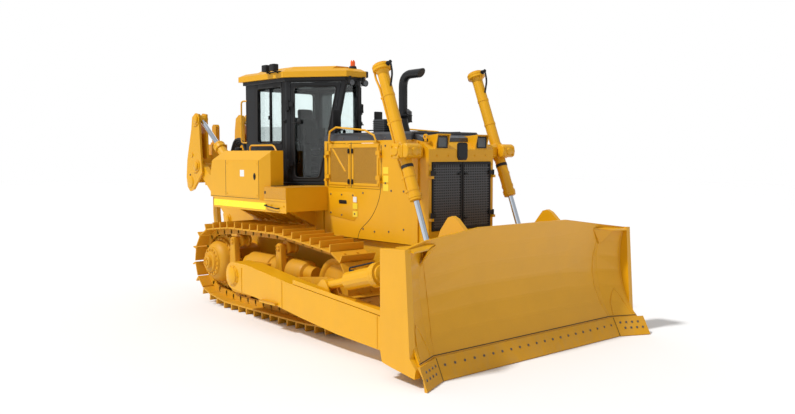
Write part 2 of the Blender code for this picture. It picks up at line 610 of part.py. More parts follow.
def ring(outer, inner, side, y0, y1):
    """A closed band between two outlines with the same number of points."""
    bm = bmesh.new()
    loops = [[bm.verts.new((x, side * y, z)) for x, z in outline]
             for outline, y in ((outer, y0), (outer, y1), (inner, y1), (inner, y0))]
    for a, b in zip(loops, loops[1:] + loops[:1]):
        for k in range(len(a)):
            n = (k + 1) % len(a)
            bm.faces.new((a[k], a[n], b[n], b[k]))
    bmesh.ops.recalc_face_normals(bm, faces=bm.faces)
    return bm


PLATE_IN, PLATE_OUT = 0.045, 0.070
STEPS = 5                    # outline points for each shoe
tread = offset_line(SHOES * STEPS, (PLATE_OUT, PLATE_OUT, PLATE_OUT, PIN_DROP, PLATE_OUT + 0.005))
base = offset_line(SHOES * STEPS, (PLATE_IN,))
shoes = ring(tread, base, side, TRACK_Y - SHOE_WIDTH / 2, TRACK_Y + SHOE_WIDTH / 2)
chain = ring(offset_line(SHOES * 2, (LINK_HALF + 0.005,)), offset_line(SHOES * 2, (-LINK_HALF,)),
             side, TRACK_Y - 0.10, TRACK_Y + 0.10)
pair("track", TRACK_YELLOW, [shoes, chain])

wheel = [turned((SPROCKET_X, side * 0.93 + side * GAP, SPROCKET_Z), (SPROCKET_X, side * 1.5, SPROCKET_Z),
                [(0, 0), (0, 0.30), (0.09, 0.30), (0.10, 0.412), (0.18, 0.412), (0.19, 0.36),
                 (0.30, 0.35), (0.38, 0.27), (0.43, 0.16), (0.50, 0.10), (0.50, 0)], 24)]
pair("sprocket", TRACK_YELLOW, wheel)
rim = IDLER_R - LINK_HALF - 0.004
idler = [turned((IDLER_X, side * 0.93, IDLER_Z), (IDLER_X, side * 1.21, IDLER_Z),
                [(0.0, 0), (0.0, 0.07), (0.045, 0.07), (0.05, rim - 0.09), (0.045, rim), (0.235, rim),
                 (0.23, rim - 0.09), (0.235, 0.07), (0.28, 0.07), (0.28, 0)], 24)]
pair("idler", TRACK_YELLOW, idler)

beam = [(-1.31, 0.38), (0.88, 0.38), (0.95, 0.44), (0.95, 0.62), (-1.20, 0.72), (-1.31, 0.66)]
frame = [slab(side, beam, 0.93 + 2 * GAP, 1.21 - 2 * GAP)]
for x in ROLLERS_X:
    frame.append(pin(side, x, ROLLER_Z, 0.92, 1.22, ROLLER_R, 10))
for y0, y1 in ((0.905, 0.94), (1.20, 1.235)):
    frame.append(slab(side, [(-1.31, 0.27), (0.92, 0.27), (0.92, 0.44), (-1.31, 0.44)], y0, y1))
for x, z in CARRIERS:
    frame.append(turned((x, 0.98, z), (x, 1.25, z), [(0, 0), (0, CARRIER_R), (0.18, CARRIER_R), (0.18, 0.045),
                                                     (0.27, 0.045), (0.27, 0)], 12))
    frame.append(slab(side, [(x - 0.11, 0.60), (x + 0.11, 0.60), (x + 0.07, z + 0.06), (x - 0.07, z + 0.06)],
                      1.19, 1.29))
for y0, y1 in ((0.87, 0.93 - GAP), (1.21 + GAP, 1.27)):
    yoke = [(0.60, 0.46), (1.30, 0.50), (1.46, 0.56), (1.50, 0.65), (1.46, 0.74), (1.30, 0.78), (0.60, 0.70)]
    frame.append(slab(side, yoke, y0, y1))
frame.append(box(0.62, 0.80, side * 0.88, side * 1.26, 0.48, 0.68) if side > 0 else
             box(0.62, 0.80, -1.26, -0.88, 0.48, 0.68))
frame.append(turned((-1.05, side * TRACK_Y, 0.74), (1.2, side * TRACK_Y, 0.74),
                    [(0, 0), (0, 0.14), (0.80, 0.14), (0.83, 0.12), (1.0, 0.12), (1.08, 0.17), (1.38, 0.17),
                     (1.50, 0.11), (1.86, 0.11), (1.86, 0)], 12))
frame.append(sided_box(side, -0.55, -0.15, 1.15, 1.40, 0.50, 0.80))
frame.append(pin(side, PIVOT[0], PIVOT[1], 1.30, 1.60, 0.085, 20))
pair("track_frame", TRACK_YELLOW, frame)

# ---------------------------------------------------------------- blade
def face_x(z):
    """Front of the moldboard at the centre, at height z."""
    return FACE_X - math.sqrt(BLADE_R ** 2 - (z - FACE_Z) ** 2)


def lead(y, z):
    """How far the angled wing is ahead of the centre's face."""
    return WING_LEAD * max(0.0, abs(y) - CORNER_Y) / (BLADE_HALF - CORNER_Y) * (1 - 0.18 * max(z, 0.235))


def blade_section(y, top):
    levels = [0.12, 0.235] + [0.235 + (top - 0.235) * k / 6 for k in range(1, 7)]
    outer = [(face_x(z) + lead(y, z), y, z) for z in levels]
    return outer + [(x - BLADE_SKIN, y, z) for x, y, z in reversed(outer)]


stations = [(2.00, END_TOP), (CORNER_Y, WING_TOP), (0.811, BLADE_TOP)]
sections = [blade_section(-y, top) for y, top in stations]
sections += [blade_section(y, top) for y, top in reversed(stations)]
blade = [loft(sections)]
low_box = [(3.36, 0.17), (3.79, 0.17), (3.615, 0.52), (3.36, 0.52)]
top_box = [(3.38, 1.22), (3.555, 1.20), (3.60, 1.42), (3.52, 1.44)]
blade += [slab(1, low_box, -1.95, 1.95), slab(1, top_box, -1.95, 1.95)]
for y in (0.0, 0.55, 1.20):
    for side in ((-1, 1) if y else (1,)):
        rib = [(3.40, 0.40), (3.55, 0.40), (3.54, 1.30), (3.42, 1.30)]
        blade.append(slab(side, rib, y - 0.02, y + 0.02) if y else slab(1, rib, -0.02, 0.02))
end_plate = [(3.394, 1.423), (3.394, 0.30), (3.425, 0.185), (3.55, 0.16), (3.95, 0.10),
             (3.97, 0.20), (3.875, 0.30), (3.80, END_TOP)]
for side in BOTH:
    blade.append(slab(side, end_plate, 1.985, BLADE_HALF))
    blade.append(sided_box(side, 3.20, 3.60, ARM_Y0 - 0.05, ARM_Y0 - GAP, 0.15, 0.60))
    blade.append(sided_box(side, 3.20, 3.60, ARM_Y1 + GAP, ARM_Y1 + 0.05, 0.15, 0.60))
    blade.append(sided_box(side, 3.39, 3.555, 1.44, 1.76, 0.98, 1.30))
    for y0, y1 in ((LIFT_Y - 0.105, LIFT_Y - 0.066), (LIFT_Y + 0.066, LIFT_Y + 0.105)):
        ear = arc(LIFT_EYE[0], LIFT_EYE[1], 0.10, 100, 260, 5) + [(3.55, 0.60), (3.55, 1.22)]
        blade.append(slab(side, ear, y0, y1))
    blade.append(pin(side, LIFT_EYE[0], LIFT_EYE[1], LIFT_Y - 0.125, LIFT_Y - 0.068, 0.05))
    blade.append(pin(side, LIFT_EYE[0], LIFT_EYE[1], LIFT_Y + 0.068, LIFT_Y + 0.125, 0.05))
    fin = [(3.06, 1.36), (3.58, 1.30), (3.60, 1.50), (3.40, 1.68), (3.33, 1.71), (3.26, 1.69), (3.13, 1.53)]
    blade.append(slab(side, fin, LIFT_Y - 0.03, LIFT_Y + 0.03))
    for y0, y1 in ((1.525, 1.545), (1.655, 1.675)):
        lug = arc(3.30, 1.145, 0.085, 90, 270, 5) + [(3.45, 1.06), (3.45, 1.23)]
        blade.append(slab(side, lug, y0, y1))
piece("moldboard", YELLOW, blade, origin=(PIVOT[0], 0, PIVOT[1]))

EDGE_FRONT = 3.949


def edge_section(y):
    """Cutting edge plate: bevelled foot, bolted over the lower edge of the moldboard."""
    back = [(face_x(z) + lead(y, z) + 2 * GAP, y, z) for z in (0.235, 0.12)]
    ahead = lead(y, 0.0)
    return back + [(EDGE_FRONT - 0.045 + ahead, y, 0.0), (EDGE_FRONT - 0.015 + ahead, y, 0.0),
                   (EDGE_FRONT + ahead, y, 0.012), (face_x(0.235) + 0.036 + lead(y, 0.235), y, 0.243)]


edge = [loft([edge_section(y) for y in (-BLADE_HALF, -CORNER_Y, CORNER_Y, BLADE_HALF)])]
piece("cutting_edge", TRACK_YELLOW, edge, origin=(PIVOT[0], 0, PIVOT[1]))

px, pz = PIVOT
arm = arc(px, pz, 0.20, 92, 250, 10) + [(0.82, 0.39), (1.39, 0.315), (2.15, 0.232), (3.05, 0.18), (3.35, 0.20),
                                        (3.35, 0.54), (3.07, 0.571), (1.09, 0.736), (0.02, 0.865)]
shells = [slab(side, arm, ARM_Y0, ARM_Y1),
          sided_box(side, 0.45, 0.85, ARM_Y1 - 0.02, ARM_Y1 + 0.05, 0.40, 0.425)]
for y0, y1 in ((1.525, 1.545), (1.655, 1.675)):
    lug = [(1.60, 0.62), (1.60, 0.70)] + arc(1.80, 0.775, 0.085, 150, 20, 4) + [(1.98, 0.62)]
    shells.append(slab(side, lug, y0, y1))
pair("push_arm", YELLOW, shells, [bore(side, px, pz, ARM_Y0 - 0.1, 1.61, 0.085)],
      origin=(px, side * 1.6, pz))

TILT_A, TILT_B = Vector((1.80, 0, 0.775)), Vector((3.30, 0, 1.145))
TILT_LENGTH = (TILT_B - TILT_A).length
EYE_HALF = 0.055 - GAP
along = (TILT_B - TILT_A).normalized()
y = -1.60
start, end = TILT_A + Vector((0, y, 0)), TILT_B + Vector((0, y, 0))
piece("tilt_cylinder", YELLOW, [
    turned(start, end, [(0.06, 0), (0.06, 0.055), (0.42, 0.055), (0.46, 0.115), (1.02, 0.115), (1.02, 0.150),
                        (1.10, 0.150), (1.10, 0)], 16),
    bar((start.x, y - EYE_HALF, start.z), (start.x, y + EYE_HALF, start.z), 0.075)],
    [bar(tuple(start + along * 0.9), tuple(end), 0.0453)], origin=(PIVOT[0], 0, PIVOT[1]))
piece("tilt_rod", STEEL, [
    bar(tuple(start + along * 0.92), tuple(end - along * 0.03), 0.045),
    bar((end.x, y - EYE_HALF, end.z), (end.x, y + EYE_HALF, end.z), 0.075)], origin=(PIVOT[0], 0, PIVOT[1]))
y = 1.60
start, end = TILT_A + Vector((0, y, 0)), TILT_B + Vector((0, y, 0))
piece("tilt_brace", YELLOW, [
    turned(start, end, [(0.05, 0), (0.05, 0.05), (0.40, 0.05), (0.42, 0.075), (1.10, 0.075), (1.12, 0.05),
                        (TILT_LENGTH - 0.05, 0.05), (TILT_LENGTH - 0.05, 0)], 12),
    bar((start.x, y - EYE_HALF, start.z), (start.x, y + EYE_HALF, start.z), 0.075),
    bar((end.x, y - EYE_HALF, end.z), (end.x, y + EYE_HALF, end.z), 0.075)], origin=(PIVOT[0], 0, PIVOT[1]))

# ---------------------------------------------------------------- blade lift cylinders
LIFT_DIR = Vector((LIFT_EYE[0] - TRUNNION[0], 0, LIFT_EYE[1] - TRUNNION[1]))
LIFT_LENGTH = LIFT_DIR.length
LIFT_DIR.normalize()
hub = Vector((TRUNNION[0], side * LIFT_Y, TRUNNION[1]))
top, foot = hub - LIFT_DIR * LIFT_ABOVE, hub + LIFT_DIR * LIFT_BELOW
eye = hub + LIFT_DIR * LIFT_LENGTH
r = LIFT_BARREL_R
full = LIFT_ABOVE + LIFT_BELOW
barrel = [turned(top, foot, [(0, 0), (0, r + 0.025), (0.10, r + 0.025), (0.10, r), (full, r), (full, 0)], 16),
          pin(side, TRUNNION[0], TRUNNION[1], LIFT_Y - 0.125, LIFT_Y + 0.125, 0.04, 20),
          pin(side, TRUNNION[0], TRUNNION[1], LIFT_Y - 0.095, LIFT_Y + 0.095, 0.065)]
pair("lift_barrel", YELLOW, barrel,
      [bar(tuple(top + LIFT_DIR * 0.30), tuple(foot + LIFT_DIR * 0.1), LIFT_ROD_R + 0.001)],
      origin=tuple(hub))
rod = [bar(tuple(eye - LIFT_DIR * 1.48), tuple(eye - LIFT_DIR * 0.034), LIFT_ROD_R),
       bar((eye.x, eye.y - 0.058, eye.z), (eye.x, eye.y + 0.058, eye.z), 0.088)]
pair("lift_rod", STEEL, rod, origin=tuple(hub))
yoke = [sided_box(side, 2.33, 2.53, HOUSE_HALF + GAP, LIFT_Y - 0.102, TRUNNION[1] - 0.09, TRUNNION[1] + 0.09),
        sided_box(side, 2.35, 2.51, LIFT_Y + 0.102, LIFT_Y + 0.14, TRUNNION[1] - 0.09, TRUNNION[1] + 0.09),
        sided_box(side, 2.58, 2.65, LIFT_Y - 0.125, LIFT_Y + 0.125, TRUNNION[1] - 0.10, TRUNNION[1] + 0.10),
        sided_box(side, 2.50, 2.61, LIFT_Y + 0.102, LIFT_Y + 0.135, TRUNNION[1] - 0.08, TRUNNION[1] + 0.08),
        sided_box(side, 2.50, 2.61, LIFT_Y - 0.135, LIFT_Y - 0.102, TRUNNION[1] - 0.08, TRUNNION[1] + 0.08)]
pair("lift_yoke", YELLOW, yoke,
      [bore(side, TRUNNION[0], TRUNNION[1], LIFT_Y - 0.128, LIFT_Y + 0.128, 0.04)])

# ---------------------------------------------------------------- rear ripper
bracket = []
for side in BOTH:
    plate = [(CASE_REAR - GAP, 0.80), (-2.62, 1.10), (-2.68, 1.38), (-2.60, 1.52), (-2.44, 1.56), (-2.56, 2.16),
             (-2.50, 2.26), (-2.36, 2.26), (-2.10, 1.98), (-2.10, 1.6003), (CASE_REAR - GAP, 1.6003)]
    bracket.append(slab(side, plate, 0.56, 0.60))
    bracket.append(slab(side, plate, 0.325, 0.36))
    bracket.append(pin(side, *ARM_PIN, 0.31, 0.62, 0.05, 20))
    bracket.append(pin(side, -2.48, 2.16, 0.31, 0.62, 0.04, 20))
    bracket.append(pin(side, *RIPPER_LIFT_BASE, 0.11, 0.35, 0.04, 20))
    low = [(-2.30, 1.6003), (-2.10, 1.6003), (-2.12, 1.80), (-2.28, 1.84), (-2.36, 1.76)]
    bracket.append(slab(side, low, 0.125, 0.145))
bracket.append(box(-2.30, CASE_REAR - GAP, -0.60, 0.60, 0.82, 1.56))
piece("ripper_bracket", YELLOW, bracket)

RISE = Vector((BEAM_PIN[0] - ARM_PIN[0], 0, BEAM_PIN[1] - ARM_PIN[1]))
ARM_LENGTH = RISE.length
rise = RISE.normalized()
across = Vector((-rise.z, 0, rise.x))


def arm_point(along, out):
    return (ARM_PIN[0] + rise.x * along + across.x * out, ARM_PIN[1] + rise.z * along + across.z * out)


arm = []
link = [arm_point(-0.13, -0.05), arm_point(-0.05, -0.14), arm_point(0.7, -0.13), arm_point(ARM_LENGTH - 0.1, -0.10),
        arm_point(ARM_LENGTH + 0.09, -0.06), arm_point(ARM_LENGTH + 0.09, 0.06), arm_point(ARM_LENGTH - 0.1, 0.10),
        arm_point(0.7, 0.12), arm_point(-0.05, 0.13), arm_point(-0.13, 0.05)]
for side in BOTH:
    arm.append(slab(side, link, 0.415, 0.505))
    arm.append(pin(side, *BEAM_PIN, 0.12, 0.56, 0.05, 20))
cross = [arm_point(0.45, 0.01), arm_point(0.72, 0.01), arm_point(0.72, 0.118), arm_point(0.45, 0.118)]
arm.append(slab(1, cross, -0.45, 0.45))
piece("ripper_arm", YELLOW, arm,
      [bore(side, *ARM_PIN, 0.30, 0.62, 0.05) for side in BOTH], origin=(ARM_PIN[0], 0, ARM_PIN[1]))

beam = []
tower = [(-3.63, 3.17), (-3.76, 3.19), (-3.88, 3.12), (-3.92, 2.90), (-4.10, 2.33), (-4.14, 2.00), (-4.10, 1.82),
         (-4.00, 1.74), (-3.86, 1.78), (-3.52, 2.10), (-3.56, 2.40)]
for side in BOTH:
    beam.append(slab(side, tower, 0.515, 0.555))
    inner = [(-3.63, 3.17), (-3.76, 3.19), (-3.88, 3.12), (-3.92, 2.90), (-3.95, 2.50), (-3.90, 2.34), (-3.60, 2.36)]
    beam.append(slab(side, inner, 0.365, 0.405))
    beam.append(slab(side, [(-3.90, 2.80), (-3.84, 2.82), (-3.82, 2.42), (-3.94, 2.36)], 0.38, 0.54))
    beam.append(pin(side, *PITCH_TOP, 0.35, 0.40, 0.055))
    beam.append(pin(side, *PITCH_TOP, 0.52, 0.58, 0.055))
beam.append(box(-4.13, -3.90, -0.54, 0.54, 1.90, 2.30))
beam.append(box(-4.12, -3.87, -0.40, 0.40, 2.20, 2.42))
beam.append(box(-4.16, -3.86, -0.16, 0.16, 1.84, 2.62))
piece("tool_beam", YELLOW, beam, [box(-4.085, -3.925, -0.0405, 0.0405, 1.6, 3.0)]
      + [bore(side, *BEAM_PIN, 0.50, 0.58, 0.05) for side in BOTH],
      origin=(BEAM_PIN[0], 0, BEAM_PIN[1]))
shank = [(-4.08, 2.96), (-4.04, 3.0), (-3.96, 3.0), (-3.93, 2.96), (-3.93, 1.30), (-3.90, 1.10), (-3.80, 0.92),
         (-3.60, 0.78), (-3.74, 0.76), (-3.92, 0.84), (-4.04, 1.02), (-4.08, 1.30)]
piece("ripper_shank", TRACK_YELLOW, [slab(1, shank, -0.04, 0.04),
      box(-4.159, -3.82, -0.03, 0.03, 2.6203, 2.66)], origin=(BEAM_PIN[0], 0, BEAM_PIN[1]))

base = Vector((PITCH_TOP[0] - RISE.x, side * PITCH_Y, PITCH_TOP[1] - RISE.z))
tip = Vector((PITCH_TOP[0], side * PITCH_Y, PITCH_TOP[1]))
barrel = [turned(base, tip, [(0, 0), (0, 0.06), (0.06, 0.085), (0.60, 0.085), (0.60, 0.105), (0.72, 0.105),
                             (0.72, 0)], 12),
          bar((base.x, base.y - 0.065, base.z), (base.x, base.y + 0.065, base.z), 0.085)]
toward = (tip - base).normalized()
barrel += [bar(tuple(base + toward * 0.60), tuple(tip - toward * 0.037), 0.040),
           bar((tip.x, tip.y - 0.052, tip.z), (tip.x, tip.y + 0.052, tip.z), 0.08)]
pair("pitch_cylinder", YELLOW, barrel,
      [bore(side, base.x, base.z, PITCH_Y - 0.1, PITCH_Y + 0.1, 0.04)], origin=tuple(base))
base = Vector((RIPPER_LIFT_BASE[0], side * RIPPER_LIFT_Y, RIPPER_LIFT_BASE[1]))
tip = Vector((BEAM_PIN[0], side * RIPPER_LIFT_Y, BEAM_PIN[1]))
toward = (tip - base).normalized()
whole = (tip - base).length
barrel = [turned(base, tip, [(0, 0), (0, 0.05), (0.05, 0.075), (0.95, 0.075), (0.95, 0.09), (1.05, 0.09),
                             (1.05, 0)], 12),
          bar((base.x, base.y - 0.055, base.z), (base.x, base.y + 0.055, base.z), 0.07)]
pair("ripper_lift_barrel", YELLOW, barrel,
      [bar(tuple(base + toward * 0.25), tuple(tip), 0.0353),
       bore(side, base.x, base.z, RIPPER_LIFT_Y - 0.1, RIPPER_LIFT_Y + 0.1, 0.04)],
     origin=tuple(base))
pair("ripper_lift_rod", STEEL, [
      bar(tuple(tip - toward * (whole - 0.40)), tuple(tip - toward * 0.10), 0.035),
      bar(tuple(tip - toward * 0.22), tuple(tip - toward * 0.13), 0.05)], origin=tuple(base))
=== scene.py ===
"""Crawler bulldozer with a semi-U blade, hexagonal cab and parallelogram ripper: the finished machine.

Metres, +X towards the blade, +Y to the machine's left, +Z up, ground at z = 0.
"""
import json
import math

import bmesh
import bpy
from mathutils import Matrix, Vector


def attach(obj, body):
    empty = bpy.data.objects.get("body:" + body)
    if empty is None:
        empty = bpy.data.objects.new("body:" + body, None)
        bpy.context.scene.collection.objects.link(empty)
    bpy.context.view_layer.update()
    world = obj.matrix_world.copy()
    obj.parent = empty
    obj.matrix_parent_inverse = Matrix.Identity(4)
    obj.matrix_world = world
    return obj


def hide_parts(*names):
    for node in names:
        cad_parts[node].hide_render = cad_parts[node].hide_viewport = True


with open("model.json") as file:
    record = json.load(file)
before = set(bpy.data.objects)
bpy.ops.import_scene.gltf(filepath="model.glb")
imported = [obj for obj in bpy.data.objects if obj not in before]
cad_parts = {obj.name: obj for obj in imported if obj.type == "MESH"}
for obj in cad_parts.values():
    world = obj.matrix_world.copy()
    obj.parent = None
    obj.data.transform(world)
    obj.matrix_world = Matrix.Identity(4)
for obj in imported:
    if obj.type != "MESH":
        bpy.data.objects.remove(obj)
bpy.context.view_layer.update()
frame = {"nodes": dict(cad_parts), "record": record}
nodes = frame["nodes"]

# ------------------------------------------------------------------ camera, floor and light
# A view from about 2.4 m up, ahead of the machine's right front corner, on a pale studio floor.
# The key light is high on the right and slightly behind, with a fill from the right front, a
# back light from the left rear and an even white surround.
scene = bpy.context.scene
lens = bpy.data.cameras.new("camera")
lens.lens, lens.sensor_width = 36.786, 36.0
lens.clip_end = 200
camera = bpy.data.objects.new("camera", lens)
camera.location = (10.097, -7.645, 2.4425)
camera.rotation_euler = (math.radians(90 - 3.749), 0, math.radians(48.977))
scene.collection.objects.link(camera)
scene.camera = camera
scene.view_settings.view_transform = "Standard"

bm = bmesh.new()
bmesh.ops.create_grid(bm, x_segments=1, y_segments=1, size=60)
floor_mesh = bpy.data.meshes.new("floor")
bm.to_mesh(floor_mesh)
bm.free()
floor = bpy.data.objects.new("floor", floor_mesh)
scene.collection.objects.link(floor)
floor_look = bpy.data.materials.new("floor")
floor_look.use_nodes = True
shade = floor_look.node_tree.nodes["Principled BSDF"]
shade.inputs["Base Color"].default_value = (0.86, 0.86, 0.86, 1)
shade.inputs["Roughness"].default_value = 0.9
floor_mesh.materials.append(floor_look)

surround = bpy.data.worlds.new("surround")
surround.use_nodes = True
surround.node_tree.nodes["Background"].inputs[0].default_value = (1.0, 1.0, 1.0, 1)
seen = surround.node_tree.nodes.new("ShaderNodeLightPath")
strength = surround.node_tree.nodes.new("ShaderNodeMath")
strength.operation = "MULTIPLY_ADD"
strength.inputs[1].default_value = 0.46
strength.inputs[2].default_value = 0.54
through = surround.node_tree.nodes.new("ShaderNodeMath")
through.operation = "MAXIMUM"
surround.node_tree.links.new(seen.outputs["Is Camera Ray"], through.inputs[0])
surround.node_tree.links.new(seen.outputs["Is Transmission Ray"], through.inputs[1])
surround.node_tree.links.new(through.outputs[0], strength.inputs[0])
surround.node_tree.links.new(strength.outputs[0], surround.node_tree.nodes["Background"].inputs[1])
scene.world = surround
for name, kind, energy, size, place, aim in (
        ("key", "SUN", 2.6, 0.10, (-2, -9, 13), (0, 0, 1)),
        ("fill", "AREA", 90, 9.0, (9, -13, 6), (0, 0, 1.5)),
        ("back", "AREA", 130, 8.0, (-10, 8, 7), (0, 0, 1.5))):
    light = bpy.data.lights.new(name, kind)
    light.energy = energy
    if kind == "SUN":
        light.angle = size
    else:
        light.size = size
    lamp = bpy.data.objects.new(name, light)
    lamp.location = place
    lamp.rotation_euler = (Vector(aim) - Vector(place)).to_track_quat("-Z", "Y").to_euler()
    scene.collection.objects.link(lamp)

# ------------------------------------------------------------------ paint and bare metal
# Sprayed enamel over welded plate: faint orange peel, a little mottling in the coat, road dust
# that settles low down and on level faces, and chipped spots. Metals share the same group.


def new_group(name, inputs, outputs):
    """An empty node group with named sockets: (name, type, value) for inputs."""
    group = bpy.data.node_groups.new(name, "ShaderNodeTree")
    for label, kind, value in inputs:
        socket = group.interface.new_socket(name=label, in_out="INPUT", socket_type="NodeSocket" + kind)
        socket.default_value = value
    for label, kind in outputs:
        group.interface.new_socket(name=label, in_out="OUTPUT", socket_type="NodeSocket" + kind)
    return group, group.nodes.new("NodeGroupInput"), group.nodes.new("NodeGroupOutput")


def join(tree, *pairs):
    for a, b in pairs:
        tree.links.new(a, b)


def node(tree, kind, **values):
    """A shader node with its attributes and named or numbered socket values set."""
    made = tree.nodes.new("ShaderNode" + kind)
    for key, value in values.items():
        if key.startswith("_"):
            made.inputs[int(key[1:])].default_value = value
        elif hasattr(made, key):
            setattr(made, key, value)
        else:
            made.inputs[key.replace("_", " ")].default_value = value
    return made


coat, given, out = new_group(
    "weathered_coat",
    [("Color", "Color", (0.8, 0.4, 0.02, 1)), ("Roughness", "Float", 0.4), ("Dust", "Float", 0.3),
     ("Dust Color", "Color", (0.42, 0.30, 0.14, 1)), ("Chips", "Float", 0.2), ("Peel", "Float", 0.3)],
    [("Color", "Color"), ("Roughness", "Float"), ("Height", "Float")])
spot = node(coat, "TexCoord")
facing = node(coat, "NewGeometry")
mottle = node(coat, "TexNoise", Scale=2.3, Detail=6.0, Roughness=0.6)
grain = node(coat, "TexNoise", Scale=95.0, Detail=3.0)
specks = node(coat, "TexNoise", Scale=38.0, Detail=5.0, Roughness=0.7)
streaks = node(coat, "TexNoise", Scale=3.0, Detail=5.0, Roughness=0.65)
stretch = node(coat, "Mapping", _3=(3.2, 3.2, 0.55))
join(coat, (spot.outputs["Object"], mottle.inputs["Vector"]), (spot.outputs["Object"], grain.inputs["Vector"]),
     (spot.outputs["Object"], specks.inputs["Vector"]), (spot.outputs["Object"], stretch.inputs[0]),
     (stretch.outputs[0], streaks.inputs["Vector"]))
shift = node(coat, "MapRange", From_Min=0.3, From_Max=0.7, To_Min=0.96, To_Max=1.03)
tinted = node(coat, "Mix", data_type="RGBA", blend_type="MULTIPLY", _0=1.0)
join(coat, (mottle.outputs["Fac"], shift.inputs["Value"]), (given.outputs["Color"], tinted.inputs[6]),
     (shift.outputs[0], tinted.inputs[7]))
place = node(coat, "SeparateXYZ")
level = node(coat, "SeparateXYZ")
join(coat, (spot.outputs["Object"], place.inputs[0]), (facing.outputs["Normal"], level.inputs[0]))
low = node(coat, "MapRange", From_Min=0.15, From_Max=1.5, To_Min=1.0, To_Max=0.12)
flat = node(coat, "MapRange", From_Min=0.55, From_Max=1.0, To_Min=0.0, To_Max=0.55)
join(coat, (place.outputs["Z"], low.inputs["Value"]), (level.outputs["Z"], flat.inputs["Value"]))
both = node(coat, "Math", operation="MAXIMUM")
patchy = node(coat, "MapRange", From_Min=0.42, From_Max=0.72, To_Min=0.0, To_Max=1.0)
laid = node(coat, "Math", operation="MULTIPLY")
dusty = node(coat, "Math", operation="MULTIPLY", use_clamp=True)
join(coat, (low.outputs[0], both.inputs[0]), (flat.outputs[0], both.inputs[1]),
     (streaks.outputs["Fac"], patchy.inputs["Value"]), (both.outputs[0], laid.inputs[0]),
     (patchy.outputs[0], laid.inputs[1]), (laid.outputs[0], dusty.inputs[0]),
     (given.outputs["Dust"], dusty.inputs[1]))
soiled = node(coat, "Mix", data_type="RGBA")
join(coat, (dusty.outputs[0], soiled.inputs[0]), (tinted.outputs[2], soiled.inputs[6]),
     (given.outputs["Dust Color"], soiled.inputs[7]))
chip = node(coat, "MapRange", From_Min=0.74, From_Max=0.77, To_Min=0.0, To_Max=1.0)
chipped = node(coat, "Math", operation="MULTIPLY", use_clamp=True)
worn = node(coat, "Mix", data_type="RGBA", _7=(0.10, 0.075, 0.05, 1))
join(coat, (specks.outputs["Fac"], chip.inputs["Value"]), (chip.outputs[0], chipped.inputs[0]),
     (given.outputs["Chips"], chipped.inputs[1]), (chipped.outputs[0], worn.inputs[0]),
     (soiled.outputs[2], worn.inputs[6]))
rougher = node(coat, "MapRange", From_Min=0.0, From_Max=1.0, To_Min=0.0, To_Max=0.4)
fine = node(coat, "MapRange", From_Min=0.3, From_Max=0.7, To_Min=-0.04, To_Max=0.06)
sum_a = node(coat, "Math", operation="ADD")
sum_b = node(coat, "Math", operation="ADD", use_clamp=True)
join(coat, (dusty.outputs[0], rougher.inputs["Value"]), (mottle.outputs["Fac"], fine.inputs["Value"]),
     (given.outputs["Roughness"], sum_a.inputs[0]), (rougher.outputs[0], sum_a.inputs[1]),
     (sum_a.outputs[0], sum_b.inputs[0]), (fine.outputs[0], sum_b.inputs[1]))
ripple = node(coat, "Math", operation="MULTIPLY")
join(coat, (grain.outputs["Fac"], ripple.inputs[0]), (given.outputs["Peel"], ripple.inputs[1]),
     (worn.outputs[2], out.inputs["Color"]), (sum_b.outputs[0], out.inputs["Roughness"]),
     (ripple.outputs[0], out.inputs["Height"]))


def coated(name, color, rough, dust=0.3, chips=0.15, peel=0.3, metal=0.0, gloss=0.0, depth=0.0012,
           dust_color=(0.42, 0.30, 0.14)):
    """A material made with the weathered coat group."""
    look = bpy.data.materials.new(name)
    look.use_nodes = True
    tree = look.node_tree
    shader = tree.nodes["Principled BSDF"]
    effect = tree.nodes.new("ShaderNodeGroup")
    effect.node_tree = coat
    effect.inputs["Color"].default_value = (*color, 1)
    effect.inputs["Roughness"].default_value = rough
    effect.inputs["Dust"].default_value = dust
    effect.inputs["Dust Color"].default_value = (*dust_color, 1)
    effect.inputs["Chips"].default_value = chips
    effect.inputs["Peel"].default_value = peel
    bump = node(tree, "Bump", Strength=0.35, Distance=depth)
    shader.inputs["Metallic"].default_value = metal
    shader.inputs["Coat Weight"].default_value = gloss
    shader.inputs["Coat Roughness"].default_value = 0.12
    join(tree, (effect.outputs["Color"], shader.inputs["Base Color"]),
         (effect.outputs["Roughness"], shader.inputs["Roughness"]),
         (effect.outputs["Height"], bump.inputs["Height"]), (bump.outputs[0], shader.inputs["Normal"]))
    return look


yellow = coated("machine yellow enamel", (0.74, 0.365, 0.004), 0.38, 0.05, 0.04, 0.25, gloss=0.10)
blade_yellow = coated("blade yellow enamel", (0.72, 0.350, 0.004), 0.32, 0.02, 0.01, 0.25, gloss=0.15)
track_yellow = coated("undercarriage paint", (0.64, 0.305, 0.008), 0.50, 0.22, 0.3, 0.5)
charcoal = coated("charcoal cab paint", (0.010, 0.011, 0.013), 0.38, 0.12, 0.0, 0.3, gloss=0.2,
                  dust_color=(0.16, 0.14, 0.11))
black = coated("matt black steel", (0.012, 0.012, 0.013), 0.5, 0.15, 0.0, 0.5, dust_color=(0.10, 0.08, 0.06))
rubber = coated("black rubber", (0.016, 0.016, 0.016), 0.72, 0.2, 0.0, 0.8, dust_color=(0.09, 0.08, 0.07))
chrome = coated("hard chrome", (0.62, 0.68, 0.76), 0.10, 0.05, 0.0, 0.1, metal=1.0)
bare = coated("worn steel", (0.20, 0.17, 0.15), 0.42, 0.35, 0.2, 0.8, metal=0.8, dust_color=(0.20, 0.13, 0.07))
iron = coated("cast iron", (0.05, 0.048, 0.046), 0.55, 0.25, 0.1, 1.0, metal=0.5, dust_color=(0.14, 0.10, 0.06))
